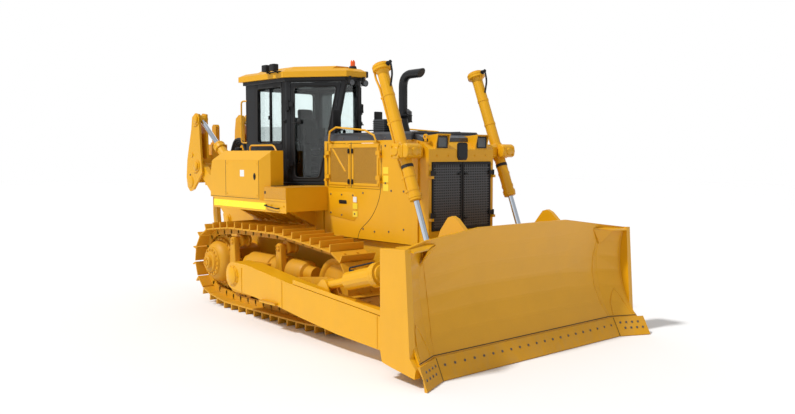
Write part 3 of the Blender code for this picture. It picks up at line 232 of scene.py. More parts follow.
for look, shine in ((yellow, 0.35), (blade_yellow, 0.4), (track_yellow, 0.3), (charcoal, 0.25), (black, 0.3)):
    look.node_tree.nodes["Principled BSDF"].inputs["Specular IOR Level"].default_value = shine
FINISH = {"machine_yellow": yellow, "track_yellow": track_yellow, "cab_charcoal": charcoal,
          "black_mesh": black, "chromed_rod": chrome, "cast_iron": iron}

# ------------------------------------------------------------------ glass, cloth and lamps
# Tinted safety glass with a faint dirt film, woven seat cloth, orange beacon lens and clear
# lamp lenses with moulded flutes.
glass = bpy.data.materials.new("tinted safety glass")
glass.use_nodes = True
tree = glass.node_tree
shader = tree.nodes["Principled BSDF"]
shader.inputs["Transmission Weight"].default_value = 1.0
shader.inputs["IOR"].default_value = 1.45
film = node(tree, "TexNoise", Scale=5.0, Detail=4.0)
ramp = node(tree, "MapRange", From_Min=0.35, From_Max=0.8, To_Min=0.0, To_Max=0.015)
tone = node(tree, "Mix", data_type="RGBA", _6=(0.74, 0.80, 0.795, 1), _7=(0.70, 0.76, 0.755, 1))
spot = node(tree, "TexCoord")
join(tree, (spot.outputs["Object"], film.inputs["Vector"]), (film.outputs["Fac"], ramp.inputs["Value"]),
     (ramp.outputs[0], shader.inputs["Roughness"]), (film.outputs["Fac"], tone.inputs[0]),
     (tone.outputs[2], shader.inputs["Base Color"]))

cloth = bpy.data.materials.new("woven seat cloth")
cloth.use_nodes = True
tree = cloth.node_tree
shader = tree.nodes["Principled BSDF"]
spot = node(tree, "TexCoord")
warp = node(tree, "TexWave", bands_direction="Z", Scale=210.0, Distortion=0.6)
weft = node(tree, "TexWave", bands_direction="Y", Scale=210.0, Distortion=0.6)
weave = node(tree, "Math", operation="MULTIPLY")
dye = node(tree, "Mix", data_type="RGBA", _6=(0.010, 0.010, 0.011, 1), _7=(0.045, 0.045, 0.048, 1))
bump = node(tree, "Bump", Strength=0.5, Distance=0.001)
join(tree, (spot.outputs["Object"], warp.inputs["Vector"]), (spot.outputs["Object"], weft.inputs["Vector"]),
     (warp.outputs["Fac"], weave.inputs[0]), (weft.outputs["Fac"], weave.inputs[1]),
     (weave.outputs[0], dye.inputs[0]), (dye.outputs[2], shader.inputs["Base Color"]),
     (weave.outputs[0], bump.inputs["Height"]), (bump.outputs[0], shader.inputs["Normal"]))
shader.inputs["Roughness"].default_value = 0.95
shader.inputs["Sheen Weight"].default_value = 0.3


def lens_look(name, color, glow, rough=0.12):
    """A lamp lens: coloured plastic with fine vertical flutes."""
    look = bpy.data.materials.new(name)
    look.use_nodes = True
    tree = look.node_tree
    shader = tree.nodes["Principled BSDF"]
    spot = node(tree, "TexCoord")
    flutes = node(tree, "TexWave", bands_direction="Y", Scale=60.0)
    tone = node(tree, "Mix", data_type="RGBA", _6=(*color, 1), _7=(*(0.75 * c for c in color), 1))
    bump = node(tree, "Bump", Strength=0.4, Distance=0.002)
    join(tree, (spot.outputs["Object"], flutes.inputs["Vector"]), (flutes.outputs["Fac"], tone.inputs[0]),
         (tone.outputs[2], shader.inputs["Base Color"]), (flutes.outputs["Fac"], bump.inputs["Height"]),
         (bump.outputs[0], shader.inputs["Normal"]))
    shader.inputs["Roughness"].default_value = rough
    shader.inputs["Emission Color"].default_value = (*color, 1)
    shader.inputs["Emission Strength"].default_value = glow
    return look


amber = lens_look("amber beacon lens", (0.85, 0.11, 0.01), 0.15)
clear = lens_look("lamp lens", (0.10, 0.11, 0.12), 0.05)
FINISH.update(tinted_glass=glass, seat_cloth=cloth, beacon_orange=amber)

# every solid of the frame takes the finish of its own slot
for part in frame["record"]["subparts"]:
    shown = nodes[part["node"]].data.materials
    if len(shown):
        shown[0] = FINISH[part["material_slot"]]
    else:
        shown.append(FINISH[part["material_slot"]])
nodes["moldboard"].data.materials[0] = blade_yellow

# ------------------------------------------------------------------ crawler shoes and chain
# Rolled single-grouser shoes, four bolts each, on sealed link chains. One shoe and one pair of
# links are forged shapes repeated at every pitch of the belt that runs round the rollers.


def part_from(name, bm, body, look, angle=35, tidy=True):
    """The finished piece: welded, faced outwards, shaded by angle, riding on its body."""
    if tidy:
        bmesh.ops.remove_doubles(bm, verts=bm.verts, dist=1e-5)
    bmesh.ops.recalc_face_normals(bm, faces=bm.faces)
    mesh = bpy.data.meshes.new(name)
    bm.to_mesh(mesh)
    bm.free()
    mesh.materials.append(look)
    piece = bpy.data.objects.new(name, mesh)
    scene.collection.objects.link(piece)
    if angle:
        mesh.shade_smooth()
        mesh.set_sharp_from_angle(angle=math.radians(angle))
    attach(piece, body)
    return piece


def plate(outline, axis, low, high, bevel=0.0, segments=1):
    """A flat outline with thickness: (x, z) along y, (x, y) along z or (y, z) along x."""
    put = {"x": lambda a, b, c: (c, a, b), "y": lambda a, b, c: (a, c, b), "z": lambda a, b, c: (a, b, c)}[axis]
    bm = bmesh.new()
    face = bm.faces.new([bm.verts.new(put(a, b, low)) for a, b in outline])
    grown = bmesh.ops.extrude_face_region(bm, geom=[face])
    bmesh.ops.translate(bm, verts=[v for v in grown["geom"] if isinstance(v, bmesh.types.BMVert)],
                        vec=Vector(put(0, 0, high - low)))
    if bevel:
        bmesh.ops.recalc_face_normals(bm, faces=bm.faces)
        bmesh.ops.bevel(bm, geom=bm.edges[:], offset=bevel, segments=segments, profile=0.5,
                        affect="EDGES", material=-1)
    return bm


def block(x0, x1, y0, y1, z0, z1, bevel=0.004, segments=1):
    """A rectangular block with eased edges."""
    bm = bmesh.new()
    bmesh.ops.create_cube(bm, size=1.0)
    bmesh.ops.scale(bm, verts=bm.verts, vec=(x1 - x0, y1 - y0, z1 - z0))
    bmesh.ops.translate(bm, verts=bm.verts, vec=((x0 + x1) / 2, (y0 + y1) / 2, (z0 + z1) / 2))
    if bevel:
        bmesh.ops.bevel(bm, geom=bm.edges[:], offset=bevel, segments=segments, profile=0.5,
                        affect="EDGES", material=-1)
    return bm


def lathe(start, end, profile, sides=32):
    """A turned shape about the line start-end; profile lists (distance along, radius)."""
    start, end = Vector(start), Vector(end)
    axis = (end - start).normalized()
    across = axis.orthogonal().normalized()
    bm = bmesh.new()
    chain = [bm.verts.new(start + axis * d + across * r) for d, r in profile]
    edges = [bm.edges.new(pair) for pair in zip(chain, chain[1:])]
    bmesh.ops.spin(bm, geom=chain + edges, cent=start, axis=axis, angle=math.tau, steps=sides,
                   use_merge=True)
    bmesh.ops.remove_doubles(bm, verts=bm.verts, dist=1e-5)
    return bm


def rod(start, end, radius, sides=16, ease=0.0):
    """A round bar with eased ends."""
    length = (Vector(end) - Vector(start)).length
    if ease:
        return lathe(start, end, [(0, 0), (0, radius - ease), (ease, radius), (length - ease, radius),
                                  (length, radius - ease), (length, 0)], sides)
    return lathe(start, end, [(0, 0), (0, radius), (length, radius), (length, 0)], sides)


def gather(*shapes):
    """Several bmeshes as one."""
    whole = bmesh.new()
    store = bpy.data.meshes.new("gather")
    for shape in shapes:
        shape.to_mesh(store)
        whole.from_mesh(store)
        shape.free()
    bpy.data.meshes.remove(store)
    return whole


def copies(shape, places):
    """The same shape set at each matrix."""
    store = bpy.data.meshes.new("copies")
    shape.to_mesh(store)
    shape.free()
    whole = bmesh.new()
    for matrix in places:
        count = len(whole.verts)
        whole.from_mesh(store)
        whole.verts.ensure_lookup_table()
        bmesh.ops.transform(whole, matrix=matrix, verts=whole.verts[count:])
    bpy.data.meshes.remove(store)
    return whole


def bolt(radius, height):
    """A hexagon bolt head on its washer, standing on z = 0."""
    washer = bmesh.new()
    bmesh.ops.create_cone(washer, cap_ends=True, segments=12, radius1=radius * 1.35, radius2=radius * 1.3,
                          depth=height * 0.25)
    bmesh.ops.translate(washer, verts=washer.verts, vec=(0, 0, height * 0.125))
    head = bmesh.new()
    bmesh.ops.create_cone(head, cap_ends=True, segments=6, radius1=radius, radius2=radius * 0.92, depth=height)
    bmesh.ops.translate(head, verts=head.verts, vec=(0, 0, height / 2))
    return gather(washer, head)


def facing_matrix(point, direction, turn=0.0):
    """Sets a shape that stands on z = 0 at a point, its +z along a direction."""
    spin_it = Vector(direction).to_track_quat("Z", "Y").to_matrix().to_4x4()
    return Matrix.Translation(point) @ spin_it @ Matrix.Rotation(turn, 4, "Z")


def bolts(name, places, radius, height, body, look):
    """Bolt heads at (point, direction) places, as one piece."""
    return part_from(name, copies(bolt(radius, height), [facing_matrix(p, d) for p, d in places]),
                     body, look, angle=30, tidy=False)


def belt_line(circles, count):
    """Evenly spaced points on a belt round circles (x, z, radius)."""
    path, angles = [], []
    for i, (x0, z0, r0) in enumerate(circles):
        x1, z1, r1 = circles[(i + 1) % len(circles)]
        reach = math.hypot(x1 - x0, z1 - z0)
        angles.append(math.atan2(z1 - z0, x1 - x0) - math.pi / 2 - math.asin((r1 - r0) / reach))
    for i, (x, z, r) in enumerate(circles):
        start, end = angles[i - 1], angles[i]
        while end < start:
            end += math.tau
        steps = max(1, int((end - start) * r / 0.01))
        path += [(x + r * math.cos(start + (end - start) * k / steps),
                  z + r * math.sin(start + (end - start) * k / steps)) for k in range(steps + 1)]
    spans = [math.dist(path[i], path[(i + 1) % len(path)]) for i in range(len(path))]
    total, points, i, walked = sum(spans), [], 0, 0.0
    for k in range(count):
        while walked + spans[i] < total * k / count:
            walked += spans[i]
            i += 1
        part = (total * k / count - walked) / max(spans[i], 1e-9)
        (x0, z0), (x1, z1) = path[i], path[(i + 1) % len(path)]
        points.append(Vector((x0 + (x1 - x0) * part, 0, z0 + (z1 - z0) * part)))
    return points


TRACK_Y, SHOE_HALF, SHOES = 1.07, 0.28, 41
PIN_LINE = [(-1.29, 0.46, 0.30), (0.89, 0.46, 0.30), (1.38, 0.65, 0.46), (0.16, 1.085, 0.1503),
            (-1.16, 1.08, 0.1503), (-1.75, 0.70, 0.47)]
pins = belt_line(PIN_LINE, SHOES)
shoe_section = [(-0.112, 0.047), (0.104, 0.047), (0.117, 0.056), (0.119, 0.066), (0.094, 0.070), (-0.074, 0.070),
                (-0.083, 0.078), (-0.088, 0.150), (-0.094, 0.160), (-0.107, 0.160), (-0.112, 0.150),
                (-0.116, 0.072)]
link_section = [(-0.150, -0.010), (-0.140, -0.036), (-0.118, -0.046), (0.090, -0.046), (0.110, -0.036),
                (0.116, -0.010), (0.110, 0.024), (0.080, 0.047), (-0.080, 0.047), (-0.140, 0.026)]
for side, which in ((-1, "right"), (1, "left")):
    y = side * TRACK_Y
    shoe = plate(shoe_section, "y", y - SHOE_HALF, y + SHOE_HALF)
    nuts = copies(bolt(0.016, 0.016), [Matrix.Translation((dx, y + dy, 0.070)) for dx in (-0.045, 0.045)
                                       for dy in (-0.105, 0.105)])
    links = gather(*[plate(link_section, "y", y + dy - 0.019, y + dy + 0.019) for dy in (-0.078, 0.078)])
    bushing = rod((-0.1143, y - 0.095, 0), (-0.1143, y + 0.095, 0), 0.034, 10)
    places = []
    for k, here in enumerate(pins):
        ahead = pins[(k + 1) % SHOES]
        along = (ahead - here).normalized()
        out = Vector((along.z, 0, -along.x))
        middle = (here + ahead) / 2
        turn = Matrix(((along.x, 0, out.x), (0, 1, 0), (along.z, 0, out.z))).to_4x4()
        places.append(Matrix.Translation(middle) @ turn)
    belt = copies(gather(shoe, nuts), places)
    for v in belt.verts:
        v.co.z = max(v.co.z, 0.0)
    shoes = part_from("shoes_" + which, belt, "tractor", track_yellow, 30, False)
    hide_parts("track_" + which)
    part_from("chain_" + which, copies(gather(links, bushing), places), "tractor", track_yellow, 30, False)

# ------------------------------------------------------------------ sprockets and final drives
# Segmented tooth rim bolted to the final-drive case, whose domed cover carries two rings of
# bolts; the sprocket's teeth reach up between the chain bushings.
for side, which in ((-1, "right"), (1, "left")):
    hub = Vector((-1.75, 0, 0.70))
    teeth, outline = 26, []
    for k in range(teeth):
        for part, radius in ((0.0, 0.418), (0.28, 0.424), (0.42, 0.462), (0.58, 0.462), (0.72, 0.424)):
            a = math.tau * (k + part) / teeth
            outline.append((hub.x + radius * math.cos(a), hub.z + radius * math.sin(a)))
    rim = plate(outline, "y", side * (TRACK_Y - 0.038), side * (TRACK_Y + 0.038))
    case = lathe((hub.x, side * 0.9305, hub.z), (hub.x, side * 1.5, hub.z),
                 [(0, 0), (0, 0.29), (0.01, 0.30), (0.09, 0.30), (0.10, 0.40), (0.105, 0.405), (0.17, 0.405),
                  (0.178, 0.40), (0.185, 0.375), (0.225, 0.368), (0.23, 0.362), (0.232, 0.335), (0.25, 0.33),
                  (0.30, 0.322), (0.345, 0.292), (0.375, 0.255), (0.385, 0.235), (0.405, 0.230), (0.41, 0.225),
                  (0.412, 0.17), (0.43, 0.165), (0.445, 0.155), (0.45, 0.105), (0.49, 0.098), (0.498, 0.09),
                  (0.498, 0)], 56)
    drive = part_from("final_drive_" + which, gather(rim, case), "tractor", track_yellow, 35, False)
    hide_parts("sprocket_" + which)
    heads = []
    for count, radius, out in ((24, 0.350, 0.2305), (16, 0.198, 0.411), (6, 0.052, 0.498)):
        for k in range(count):
            a = math.tau * (k + 0.5) / count
            heads.append(((hub.x + radius * math.cos(a), side * (0.9305 + out), hub.z + radius * math.sin(a)),
                          (0, side, 0)))
    bolts("final_drive_bolts_" + which, heads, 0.016, 0.016, "tractor", track_yellow)

# ------------------------------------------------------------------ idlers and track rollers
# Cast front idlers with a raised centre flange; their spoked webs are turned here as one solid web. The double-flanged
# track rollers on bolted collars and the recoil spring's tube along the roller frame are built with the roller frames
# below.
for side, which in ((-1, "right"), (1, "left")):
    rim = 0.404
    idler = lathe((1.38, side * 0.93, 0.65), (1.38, side * 1.21, 0.65),
                  [(0.0, 0), (0.0, 0.07), (0.045, 0.075), (0.055, 0.10), (0.065, rim - 0.10), (0.050, rim - 0.08),
                   (0.040, rim - 0.055), (0.040, rim - 0.02), (0.045, rim - 0.015), (0.090, rim - 0.015),
                   (0.095, rim), (0.185, rim), (0.190, rim - 0.015), (0.235, rim - 0.015), (0.240, rim - 0.02),
                   (0.240, rim - 0.055), (0.230, rim - 0.08), (0.215, rim - 0.10), (0.225, 0.10), (0.235, 0.075),
                   (0.28, 0.07), (0.28, 0)], 64)
    wheel = part_from("front_idler_" + which, idler, "tractor", track_yellow, 35, False)
    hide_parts("idler_" + which)

# ------------------------------------------------------------------ roller frames
# Welded box beams with bolted roller guards, seven double-flanged bottom rollers, two carrier
# rollers on forged posts, and the recoil spring's round housing pushing the idler's yoke.
ROLLERS_X = [-1.19 + 0.33 * k for k in range(7)]
CARRIERS = ((-1.16, 1.08), (0.16, 1.085))
for side, which in ((-1, "right"), (1, "left")):
    def across(x, z, y0, y1, profile, sides=24):
        return lathe((x, side * y0, z), (x, side * y1, z), profile, sides)

    shapes = [plate([(-1.31, 0.40), (0.88, 0.40), (0.95, 0.45), (0.95, 0.62), (-1.20, 0.72), (-1.31, 0.66)], "y",
                    side * 0.94, side * 1.20, 0.012, 2)]
    for x in ROLLERS_X:
        shapes.append(across(x, 0.3256, 0.94, 1.20, [(0, 0), (0, 0.05), (0.01, 0.06), (0.015, 0.112), (0.03, 0.115),
                             (0.05, 0.095), (0.21, 0.095), (0.23, 0.115), (0.245, 0.112), (0.25, 0.06), (0.26, 0.05),
                             (0.26, 0)], 20))
        shapes.append(block(x - 0.055, x + 0.055, *sorted((side * 1.185, side * 1.232)), 0.315, 0.43, 0.008, 2))
    for y0, y1 in ((0.905, 0.93), (1.208, 1.232)):
        guard = [(-1.31, 0.44), (0.92, 0.44), (0.92, 0.30), (0.86, 0.262), (-1.25, 0.262), (-1.31, 0.30)]
        shapes.append(plate(guard, "y", side * y0, side * y1, 0.006))
    for x, z in CARRIERS:
        shapes.append(across(x, z, 0.98, 1.25, [(0, 0), (0, 0.05), (0.01, 0.096), (0.02, 0.10), (0.05, 0.10),
                             (0.06, 0.085), (0.13, 0.085), (0.14, 0.10), (0.17, 0.10), (0.18, 0.095), (0.185, 0.05),
                             (0.255, 0.05), (0.265, 0.045), (0.27, 0.0)], 24))
        post = [(x - 0.10, 0.62), (x + 0.10, 0.62), (x + 0.065, z - 0.03), (x + 0.05, z + 0.05), (x, z + 0.07),
                (x - 0.05, z + 0.05), (x - 0.065, z - 0.03)]
        shapes.append(plate(post, "y", side * 1.19, side * 1.285, 0.012, 2))
        shapes.append(block(x - 0.14, x + 0.14, *sorted((side * 1.12, side * 1.29)), 0.655, 0.70, 0.008, 2))
        shapes.append(across(x, z, 1.284, 1.30, [(0, 0), (0, 0.05), (0.010, 0.046), (0.012, 0)], 20))
    for y0, y1 in ((0.872, 0.925), (1.212, 1.268)):
        yoke = [(0.60, 0.46), (1.30, 0.50), (1.44, 0.55), (1.50, 0.62), (1.50, 0.68), (1.44, 0.75), (1.30, 0.79),
                (0.60, 0.71)]
        shapes.append(plate(yoke, "y", side * y0, side * y1, 0.010, 2))
    shapes.append(block(0.62, 0.80, *sorted((side * 0.88, side * 1.26)), 0.48, 0.70, 0.01, 2))
    shapes.append(lathe((-1.05, side * 1.06, 0.74), (1.0, side * 1.06, 0.74),
                        [(0, 0), (0, 0.10), (0.02, 0.12), (0.18, 0.125), (0.20, 0.185), (0.22, 0.19), (0.80, 0.19),
                         (0.82, 0.185), (0.83, 0.165), (1.05, 0.165), (1.06, 0.20), (1.075, 0.205), (1.12, 0.205),
                         (1.13, 0.20), (1.14, 0.185), (1.62, 0.18), (1.66, 0.16), (1.68, 0.12), (1.86, 0.11),
                         (1.86, 0)], 40))
    shapes.append(block(-0.55, -0.15, *sorted((side * 1.15, side * 1.40)), 0.50, 0.82, 0.02, 2))
    shapes.append(rod((-0.35, side * 1.30, 0.67), (-0.35, side * 1.60, 0.67), 0.085, 40))
    running = part_from("roller_frame_" + which, gather(*shapes), "tractor", track_yellow, 35, False)
    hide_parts("track_frame_" + which)
    heads = []
    for x in ROLLERS_X:
        heads += [((x + dx, side * 1.232, z), (0, side, 0)) for dx in (-0.032, 0.032) for z in (0.345, 0.405)]
    for x, z in CARRIERS:
        heads += [((x + dx, side * 1.17, 0.70), (0, 0, 1)) for dx in (-0.115, 0.115)]
        heads += [((x + 0.032 * math.cos(a), side * 1.295, z + 0.032 * math.sin(a)), (0, side, 0))
                  for a in (0.8, 2.36, 3.93, 5.5)]
    for k in range(10):
        a = math.tau * k / 10
        heads.append(((0.092, side * 1.06 + 0.185 * math.cos(a), 0.74 + 0.185 * math.sin(a)), (1, 0, 0)))
    heads += [((x, side * 1.268, z), (0, side, 0)) for x in (0.72, 0.86, 1.22) for z in (0.54, 0.64)]
    bolts("roller_frame_bolts_" + which, heads, 0.013, 0.013, "tractor", track_yellow)

# ------------------------------------------------------------------ hood, sides and doors of the engine house
# Pressed steel hood in dark grey, side panels bolted to the frame, and hinged doors whose
# perforated sheets sit in folded frames with black compression latches and rubber seals.
hood_grey = coated("dark grey hood paint", (0.040, 0.044, 0.052), 0.32, 0.15, 0.0, 0.2, gloss=0.3,
                   dust_color=(0.18, 0.16, 0.13))
nodes["hood"].data.materials[0] = hood_grey
perforated = coated("perforated sheet", (0.58, 0.29, 0.02), 0.5, 0.15, 0.0, 0.5)


def lattice(x0, x1, z0, z1, pitch, wire, y, side, thick=0.003):
    """A punched sheet as a slanting grid of strips, trimmed to a rectangle in the x-z plane."""
    strips = []
    span = (x1 - x0) + (z1 - z0)
    count = int(span / pitch)
    for lean in (-1, 1):
        for k in range(1, count):
            d = k * span / count
            xa, za = (x0 + d, z0) if lean < 0 else (x1 - d, z0)
            strip = bmesh.new()
            w = wire / 2
            dx = 1 if lean > 0 else -1
            ends = [(xa - w, za), (xa + w, za), (xa + w + dx * (z1 - z0), z1), (xa - w + dx * (z1 - z0), z1)]
            verts = [strip.verts.new((x, side * y, z)) for x, z in ends]
            strip.faces.new(verts)
            for cut, away in ((x0, -1), (x1, 1)):
                bmesh.ops.bisect_plane(strip, geom=strip.verts[:] + strip.edges[:] + strip.faces[:], dist=1e-6,
                                       plane_co=(cut, 0, 0), plane_no=(away, 0, 0), clear_outer=True)
            if not strip.faces:
                strip.free()
                continue
            grown = bmesh.ops.extrude_face_region(strip, geom=strip.faces[:])
            bmesh.ops.translate(strip, verts=[v for v in grown["geom"] if isinstance(v, bmesh.types.BMVert)],
                                vec=(0, side * thick * (1 if lean > 0 else 0.6), 0))
            strips.append(strip)
    return gather(*strips)


def frame_round(x0, x1, z0, z1, width, y0, y1, ease=0.0):
    """A picture frame in the x-z plane, between two distances across."""
    return gather(block(x0, x1, y0, y1, z0, z0 + width, ease), block(x0, x1, y0, y1, z1 - width, z1, ease),
                  block(x0, x0 + width, y0, y1, z0 + width, z1 - width, ease),
                  block(x1 - width, x1, y0, y1, z0 + width, z1 - width, ease))


for side, which in ((-1, "right"), (1, "left")):
    for leaf in ("rear", "front"):
        body = "engine_door_%s_%s" % (leaf, which)
        x0, x1 = (0.50, 1.025) if leaf == "rear" else (1.05, 1.655)
        z0, z1 = 1.99, 2.57
        face = 0.6255
        sheet = lattice(x0 + 0.045, x1 - 0.045, z0 + 0.04, z1 - 0.04, 0.016, 0.0065, face, side)
        part_from("door_sheet_%s_%s" % (leaf, which), sheet, body, perforated, 0, False)
        # a black sheet just behind the punched sheet: painted shade of the dark space behind the door
        dark = plate([(x0 + 0.045, z0 + 0.04), (x1 - 0.045, z0 + 0.04), (x1 - 0.045, z1 - 0.04),
                      (x0 + 0.045, z1 - 0.04)], "y", side * (face - 0.001), side * (face + 0.0008))
        part_from("door_shade_backing_%s_%s" % (leaf, which), dark, body, black, 0, False)
        ys = sorted((side * (face - 0.002), side * (face + 0.010)))
        rimmed = frame_round(x0 + 0.012, x1 - 0.012, z0 + 0.008, z1 - 0.008, 0.036, *ys, 0.003)
        if leaf == "rear":
            brace = plate([(x0 + 0.08, z1 - 0.05), (x0 + 0.12, z1 - 0.05), (x1 - 0.10, z0 + 0.20),
                            (x1 - 0.14, z0 + 0.20)], "y", side * face, side * (face + 0.008), 0.002)
            rimmed = gather(rimmed, brace)
        part_from("door_frame_%s_%s" % (leaf, which), rimmed, body, yellow, 30, False)
        edge = x1 - 0.03 if leaf == "rear" else x0 + 0.03
        grips = []
        for z in (z0 + 0.06, z1 - 0.09):
            ys = sorted((side * (face + 0.006), side * (face + 0.026)))
            grips += [block(edge - 0.016, edge + 0.016, *ys, z - 0.035, z + 0.035, 0.006, 2)]
            ys = sorted((side * (face + 0.02), side * (face + 0.034)))
            grips += [block(edge - 0.007, edge + 0.007, *ys, z - 0.028, z + 0.02, 0.004, 2)]
        part_from("door_latches_%s_%s" % (leaf, which), gather(*grips), body, black, 35, False)
    # lower access cover with its recessed pull, panel bolts and the rear seal
    ys = sorted((side * 0.6252, side * 0.6305))
    cover = plate([(0.52, 1.55), (1.10, 1.50), (1.16, 1.56), (1.16, 1.84), (1.10, 1.90), (0.52, 1.90)], "y",
                  side * 0.6252, side * 0.6310, 0.003, 2)
    part_from("access_cover_" + which, cover, "tractor", yellow, 30, False)
    pull = gather(plate([(0.76, 1.73), (0.93, 1.73), (0.94, 1.745), (0.93, 1.785), (0.76, 1.785), (0.75, 1.77)], "y",
                        side * 0.6308, side * 0.6345, 0.002),
                  block(0.78, 0.91, *sorted((side * 0.634, side * 0.645)), 1.752, 1.764, 0.004, 2))
    part_from("access_pull_" + which, pull, "tractor", black, 30, False)
    seam = gather(block(0.475, 0.487, *sorted((side * 0.6252, side * 0.6290)), 1.97, 2.60, 0.002),
                  block(1.031, 1.043, *sorted((side * 0.6252, side * 0.6290)), 1.97, 2.60, 0.002))
    part_from("door_seal_" + which, seam, "tractor", rubber, 0, False)
    heads = [((x, side * 0.631, z), (0, side, 0)) for x, z in
             ((0.56, 1.59), (0.56, 1.86), (1.08, 1.86), (1.12, 1.60), (0.82, 1.86), (0.82, 1.57))]
    heads += [((x, side * 0.6252, z), (0, side, 0)) for x, z in
              ((1.30, 1.40), (1.55, 1.38), (1.85, 1.40), (2.15, 1.45), (1.30, 1.90), (1.90, 1.95), (2.15, 1.95),
               (1.78, 2.55), (2.05, 2.55), (1.78, 2.05))]
    bolts("side_panel_bolts_" + which, heads, 0.011, 0.009, "tractor", bare)

# ------------------------------------------------------------------ radiator guard and grille
# Heavy welded guard with a sloping brow, lifting eyes and two lamp pods; the black doors are
# punched sheet in folded frames, meeting at a centre seam, with slotted latches.
mesh_grey = coated("satin mesh paint", (0.060, 0.062, 0.068), 0.38, 0.1, 0.0, 0.2)
for side, which in ((-1, "right"), (1, "left")):
    body = "grille_door_" + which
    low, high = 0.02, 0.528      # the sheet's edges, from the centre plane
    pitch = 0.034                # between punched bars
    wires = []
    for k in range(1, int((high - low) / pitch)):
        y = side * (low + 0.01 + k * pitch)
        wires.append(block(2.6002, 2.6045, y - 0.0075, y + 0.0075, 1.475, 2.315, 0))
    for k in range(1, int(0.84 / pitch)):
        z = 1.475 + k * pitch
        wires.append(block(2.6002, 2.6070, *sorted((side * (low + 0.01), side * (high - 0.01))), z - 0.0075,
                           z + 0.0075, 0))
    part_from("grille_mesh_" + which, gather(*wires), body, mesh_grey, 0, False)
    ys = sorted((side * 0.006, side * 0.542))
    bars = [block(2.598, 2.614, *ys, 1.458, 1.488, 0.003), block(2.598, 2.614, *ys, 2.304, 2.332, 0.003),
            block(2.598, 2.614, *sorted((side * 0.006, side * 0.030)), 1.488, 2.304, 0.003),
            block(2.598, 2.614, *sorted((side * 0.518, side * 0.542)), 1.488, 2.304, 0.003)]
    for z in (1.60, 2.18):
        bars.append(block(2.606, 2.628, *sorted((side * 0.03, side * 0.085)), z - 0.014, z + 0.014, 0.005, 2))
    part_from("grille_frame_" + which, gather(*bars), body, black, 30, False)
# a black sheet behind the grille mesh: painted shade of the space behind the grille
backing = block(2.553, 2.5555, -0.545, 0.545, 1.455, 2.335, 0)
part_from("grille_shade_backing", backing, "tractor", black, 0, False)
shield = [(-0.095, 2.40), (-0.07, 2.36), (0.07, 2.36), (0.095, 2.40), (0.095, 2.57), (0.07, 2.59), (-0.07, 2.59),
          (-0.095, 2.57)]
part_from("blank_badge", plate(shield, "x", 2.598, 2.612, 0.004, 2), "tractor", black, 30, False)
raised = plate([(0.78 * y, 2.475 + 0.78 * (z - 2.475)) for y, z in shield], "x", 2.610, 2.616, 0.003)
part_from("blank_badge_face", raised, "tractor", charcoal, 0, False)
for side, which in ((-1, "right"), (1, "left")):
    pod = [plate([(2.40, 2.502), (2.602, 2.502), (2.602, 2.535), (2.640, 2.690), (2.44, 2.665)], "y",
                 *sorted((side * 0.248, side * 0.264)), 0.003),
           plate([(2.40, 2.502), (2.602, 2.502), (2.602, 2.535), (2.640, 2.690), (2.44, 2.665)], "y",
                 *sorted((side * 0.466, side * 0.482)), 0.003),
           plate([(2.44, 2.660), (2.645, 2.684), (2.645, 2.697), (2.44, 2.676)], "y",
                 *sorted((side * 0.248, side * 0.482)), 0.003),
           block(2.42, 2.590, *sorted((side * 0.262, side * 0.468)), 2.502, 2.655, 0.008, 2)]
    glass_y = sorted((side * 0.29, side * 0.44))
    part_from("lamp_surround_" + which,
              gather(block(2.600, 2.612, *sorted((side * 0.275, side * 0.455)), 2.515, 2.530, 0.002),
                     block(2.600, 2.612, *sorted((side * 0.275, side * 0.455)), 2.655, 2.670, 0.002),
                     block(2.600, 2.612, *sorted((side * 0.275, side * 0.290)), 2.530, 2.655, 0.002),
                     block(2.600, 2.612, *sorted((side * 0.440, side * 0.455)), 2.530, 2.655, 0.002)),
              "tractor", rubber, 30, False)
    part_from("head_lamp_" + which, block(2.600, 2.607, *glass_y, 2.530, 2.655, 0.002), "tractor", clear,
              30, False)
    part_from("lamp_pod_" + which, gather(*pod), "tractor", yellow, 30, False)
    ring = lathe((2.50, side * 0.55, 2.66), (2.50, side * 0.575, 2.66), [(0, 0.018), (0, 0.036), (0.022, 0.036),
                 (0.022, 0.018), (0, 0.018)], 20)
    part_from("lifting_eye_" + which, gather(ring, block(2.485, 2.515, *sorted((side * 0.552, side * 0.570)), 2.60,
              2.632, 0.002)), "tractor", yellow, 30, False)
heads = [((2.6003, side * y, z), (1, 0, 0)) for side in (-1, 1) for y, z in
         ((0.575, 1.50), (0.575, 2.30), (0.30, 1.36), (0.50, 1.36), (0.575, 1.36), (0.45, 2.42), (0.25, 2.42))]
bolts("guard_bolts", heads, 0.013, 0.010, "tractor", yellow)

# ------------------------------------------------------------------ cab shell and doors
# Welded hexagonal cab in charcoal paint: rubber glazing seals, a dark soffit under the yellow
# roof, door hinges and handles on the slanting walls, and a sliding pane's divider bar.
REAR_X, REAR_Y = -1.617, 0.74
PILLAR_X, PILLAR_Y = -0.445, 0.722
WALL_X, WALL_Y = 0.784, -0.6208
DOOR_LOW, DOOR_HIGH = 2.02, 3.52


def hose(points, radius, sides=10, closed=False):
    """A round section carried along a route; open ends are capped."""
    points = [Vector(p) for p in points]
    count = len(points)
    bm = bmesh.new()
    rings = []
    normal = None
    for i, here in enumerate(points):
        along = Vector()
        if i or closed:
            along += (here - points[i - 1]).normalized()
        if i + 1 < count or closed:
            along += (points[(i + 1) % count] - here).normalized()
        along.normalize()
        normal = along.orthogonal() if normal is None else normal - along * normal.dot(along)
        normal.normalize()
        other = along.cross(normal)
        rings.append([bm.verts.new(here + (normal * math.cos(math.tau * k / sides)
                                           + other * math.sin(math.tau * k / sides)) * radius)
                      for k in range(sides)])
    for a, b in zip(rings, rings[1:] + (rings[:1] if closed else [])):
        for k in range(sides):
            bm.faces.new((a[k], a[(k + 1) % sides], b[(k + 1) % sides], b[k]))
    if not closed:
        bm.faces.new(rings[0])
        bm.faces.new(rings[-1])
    return bm


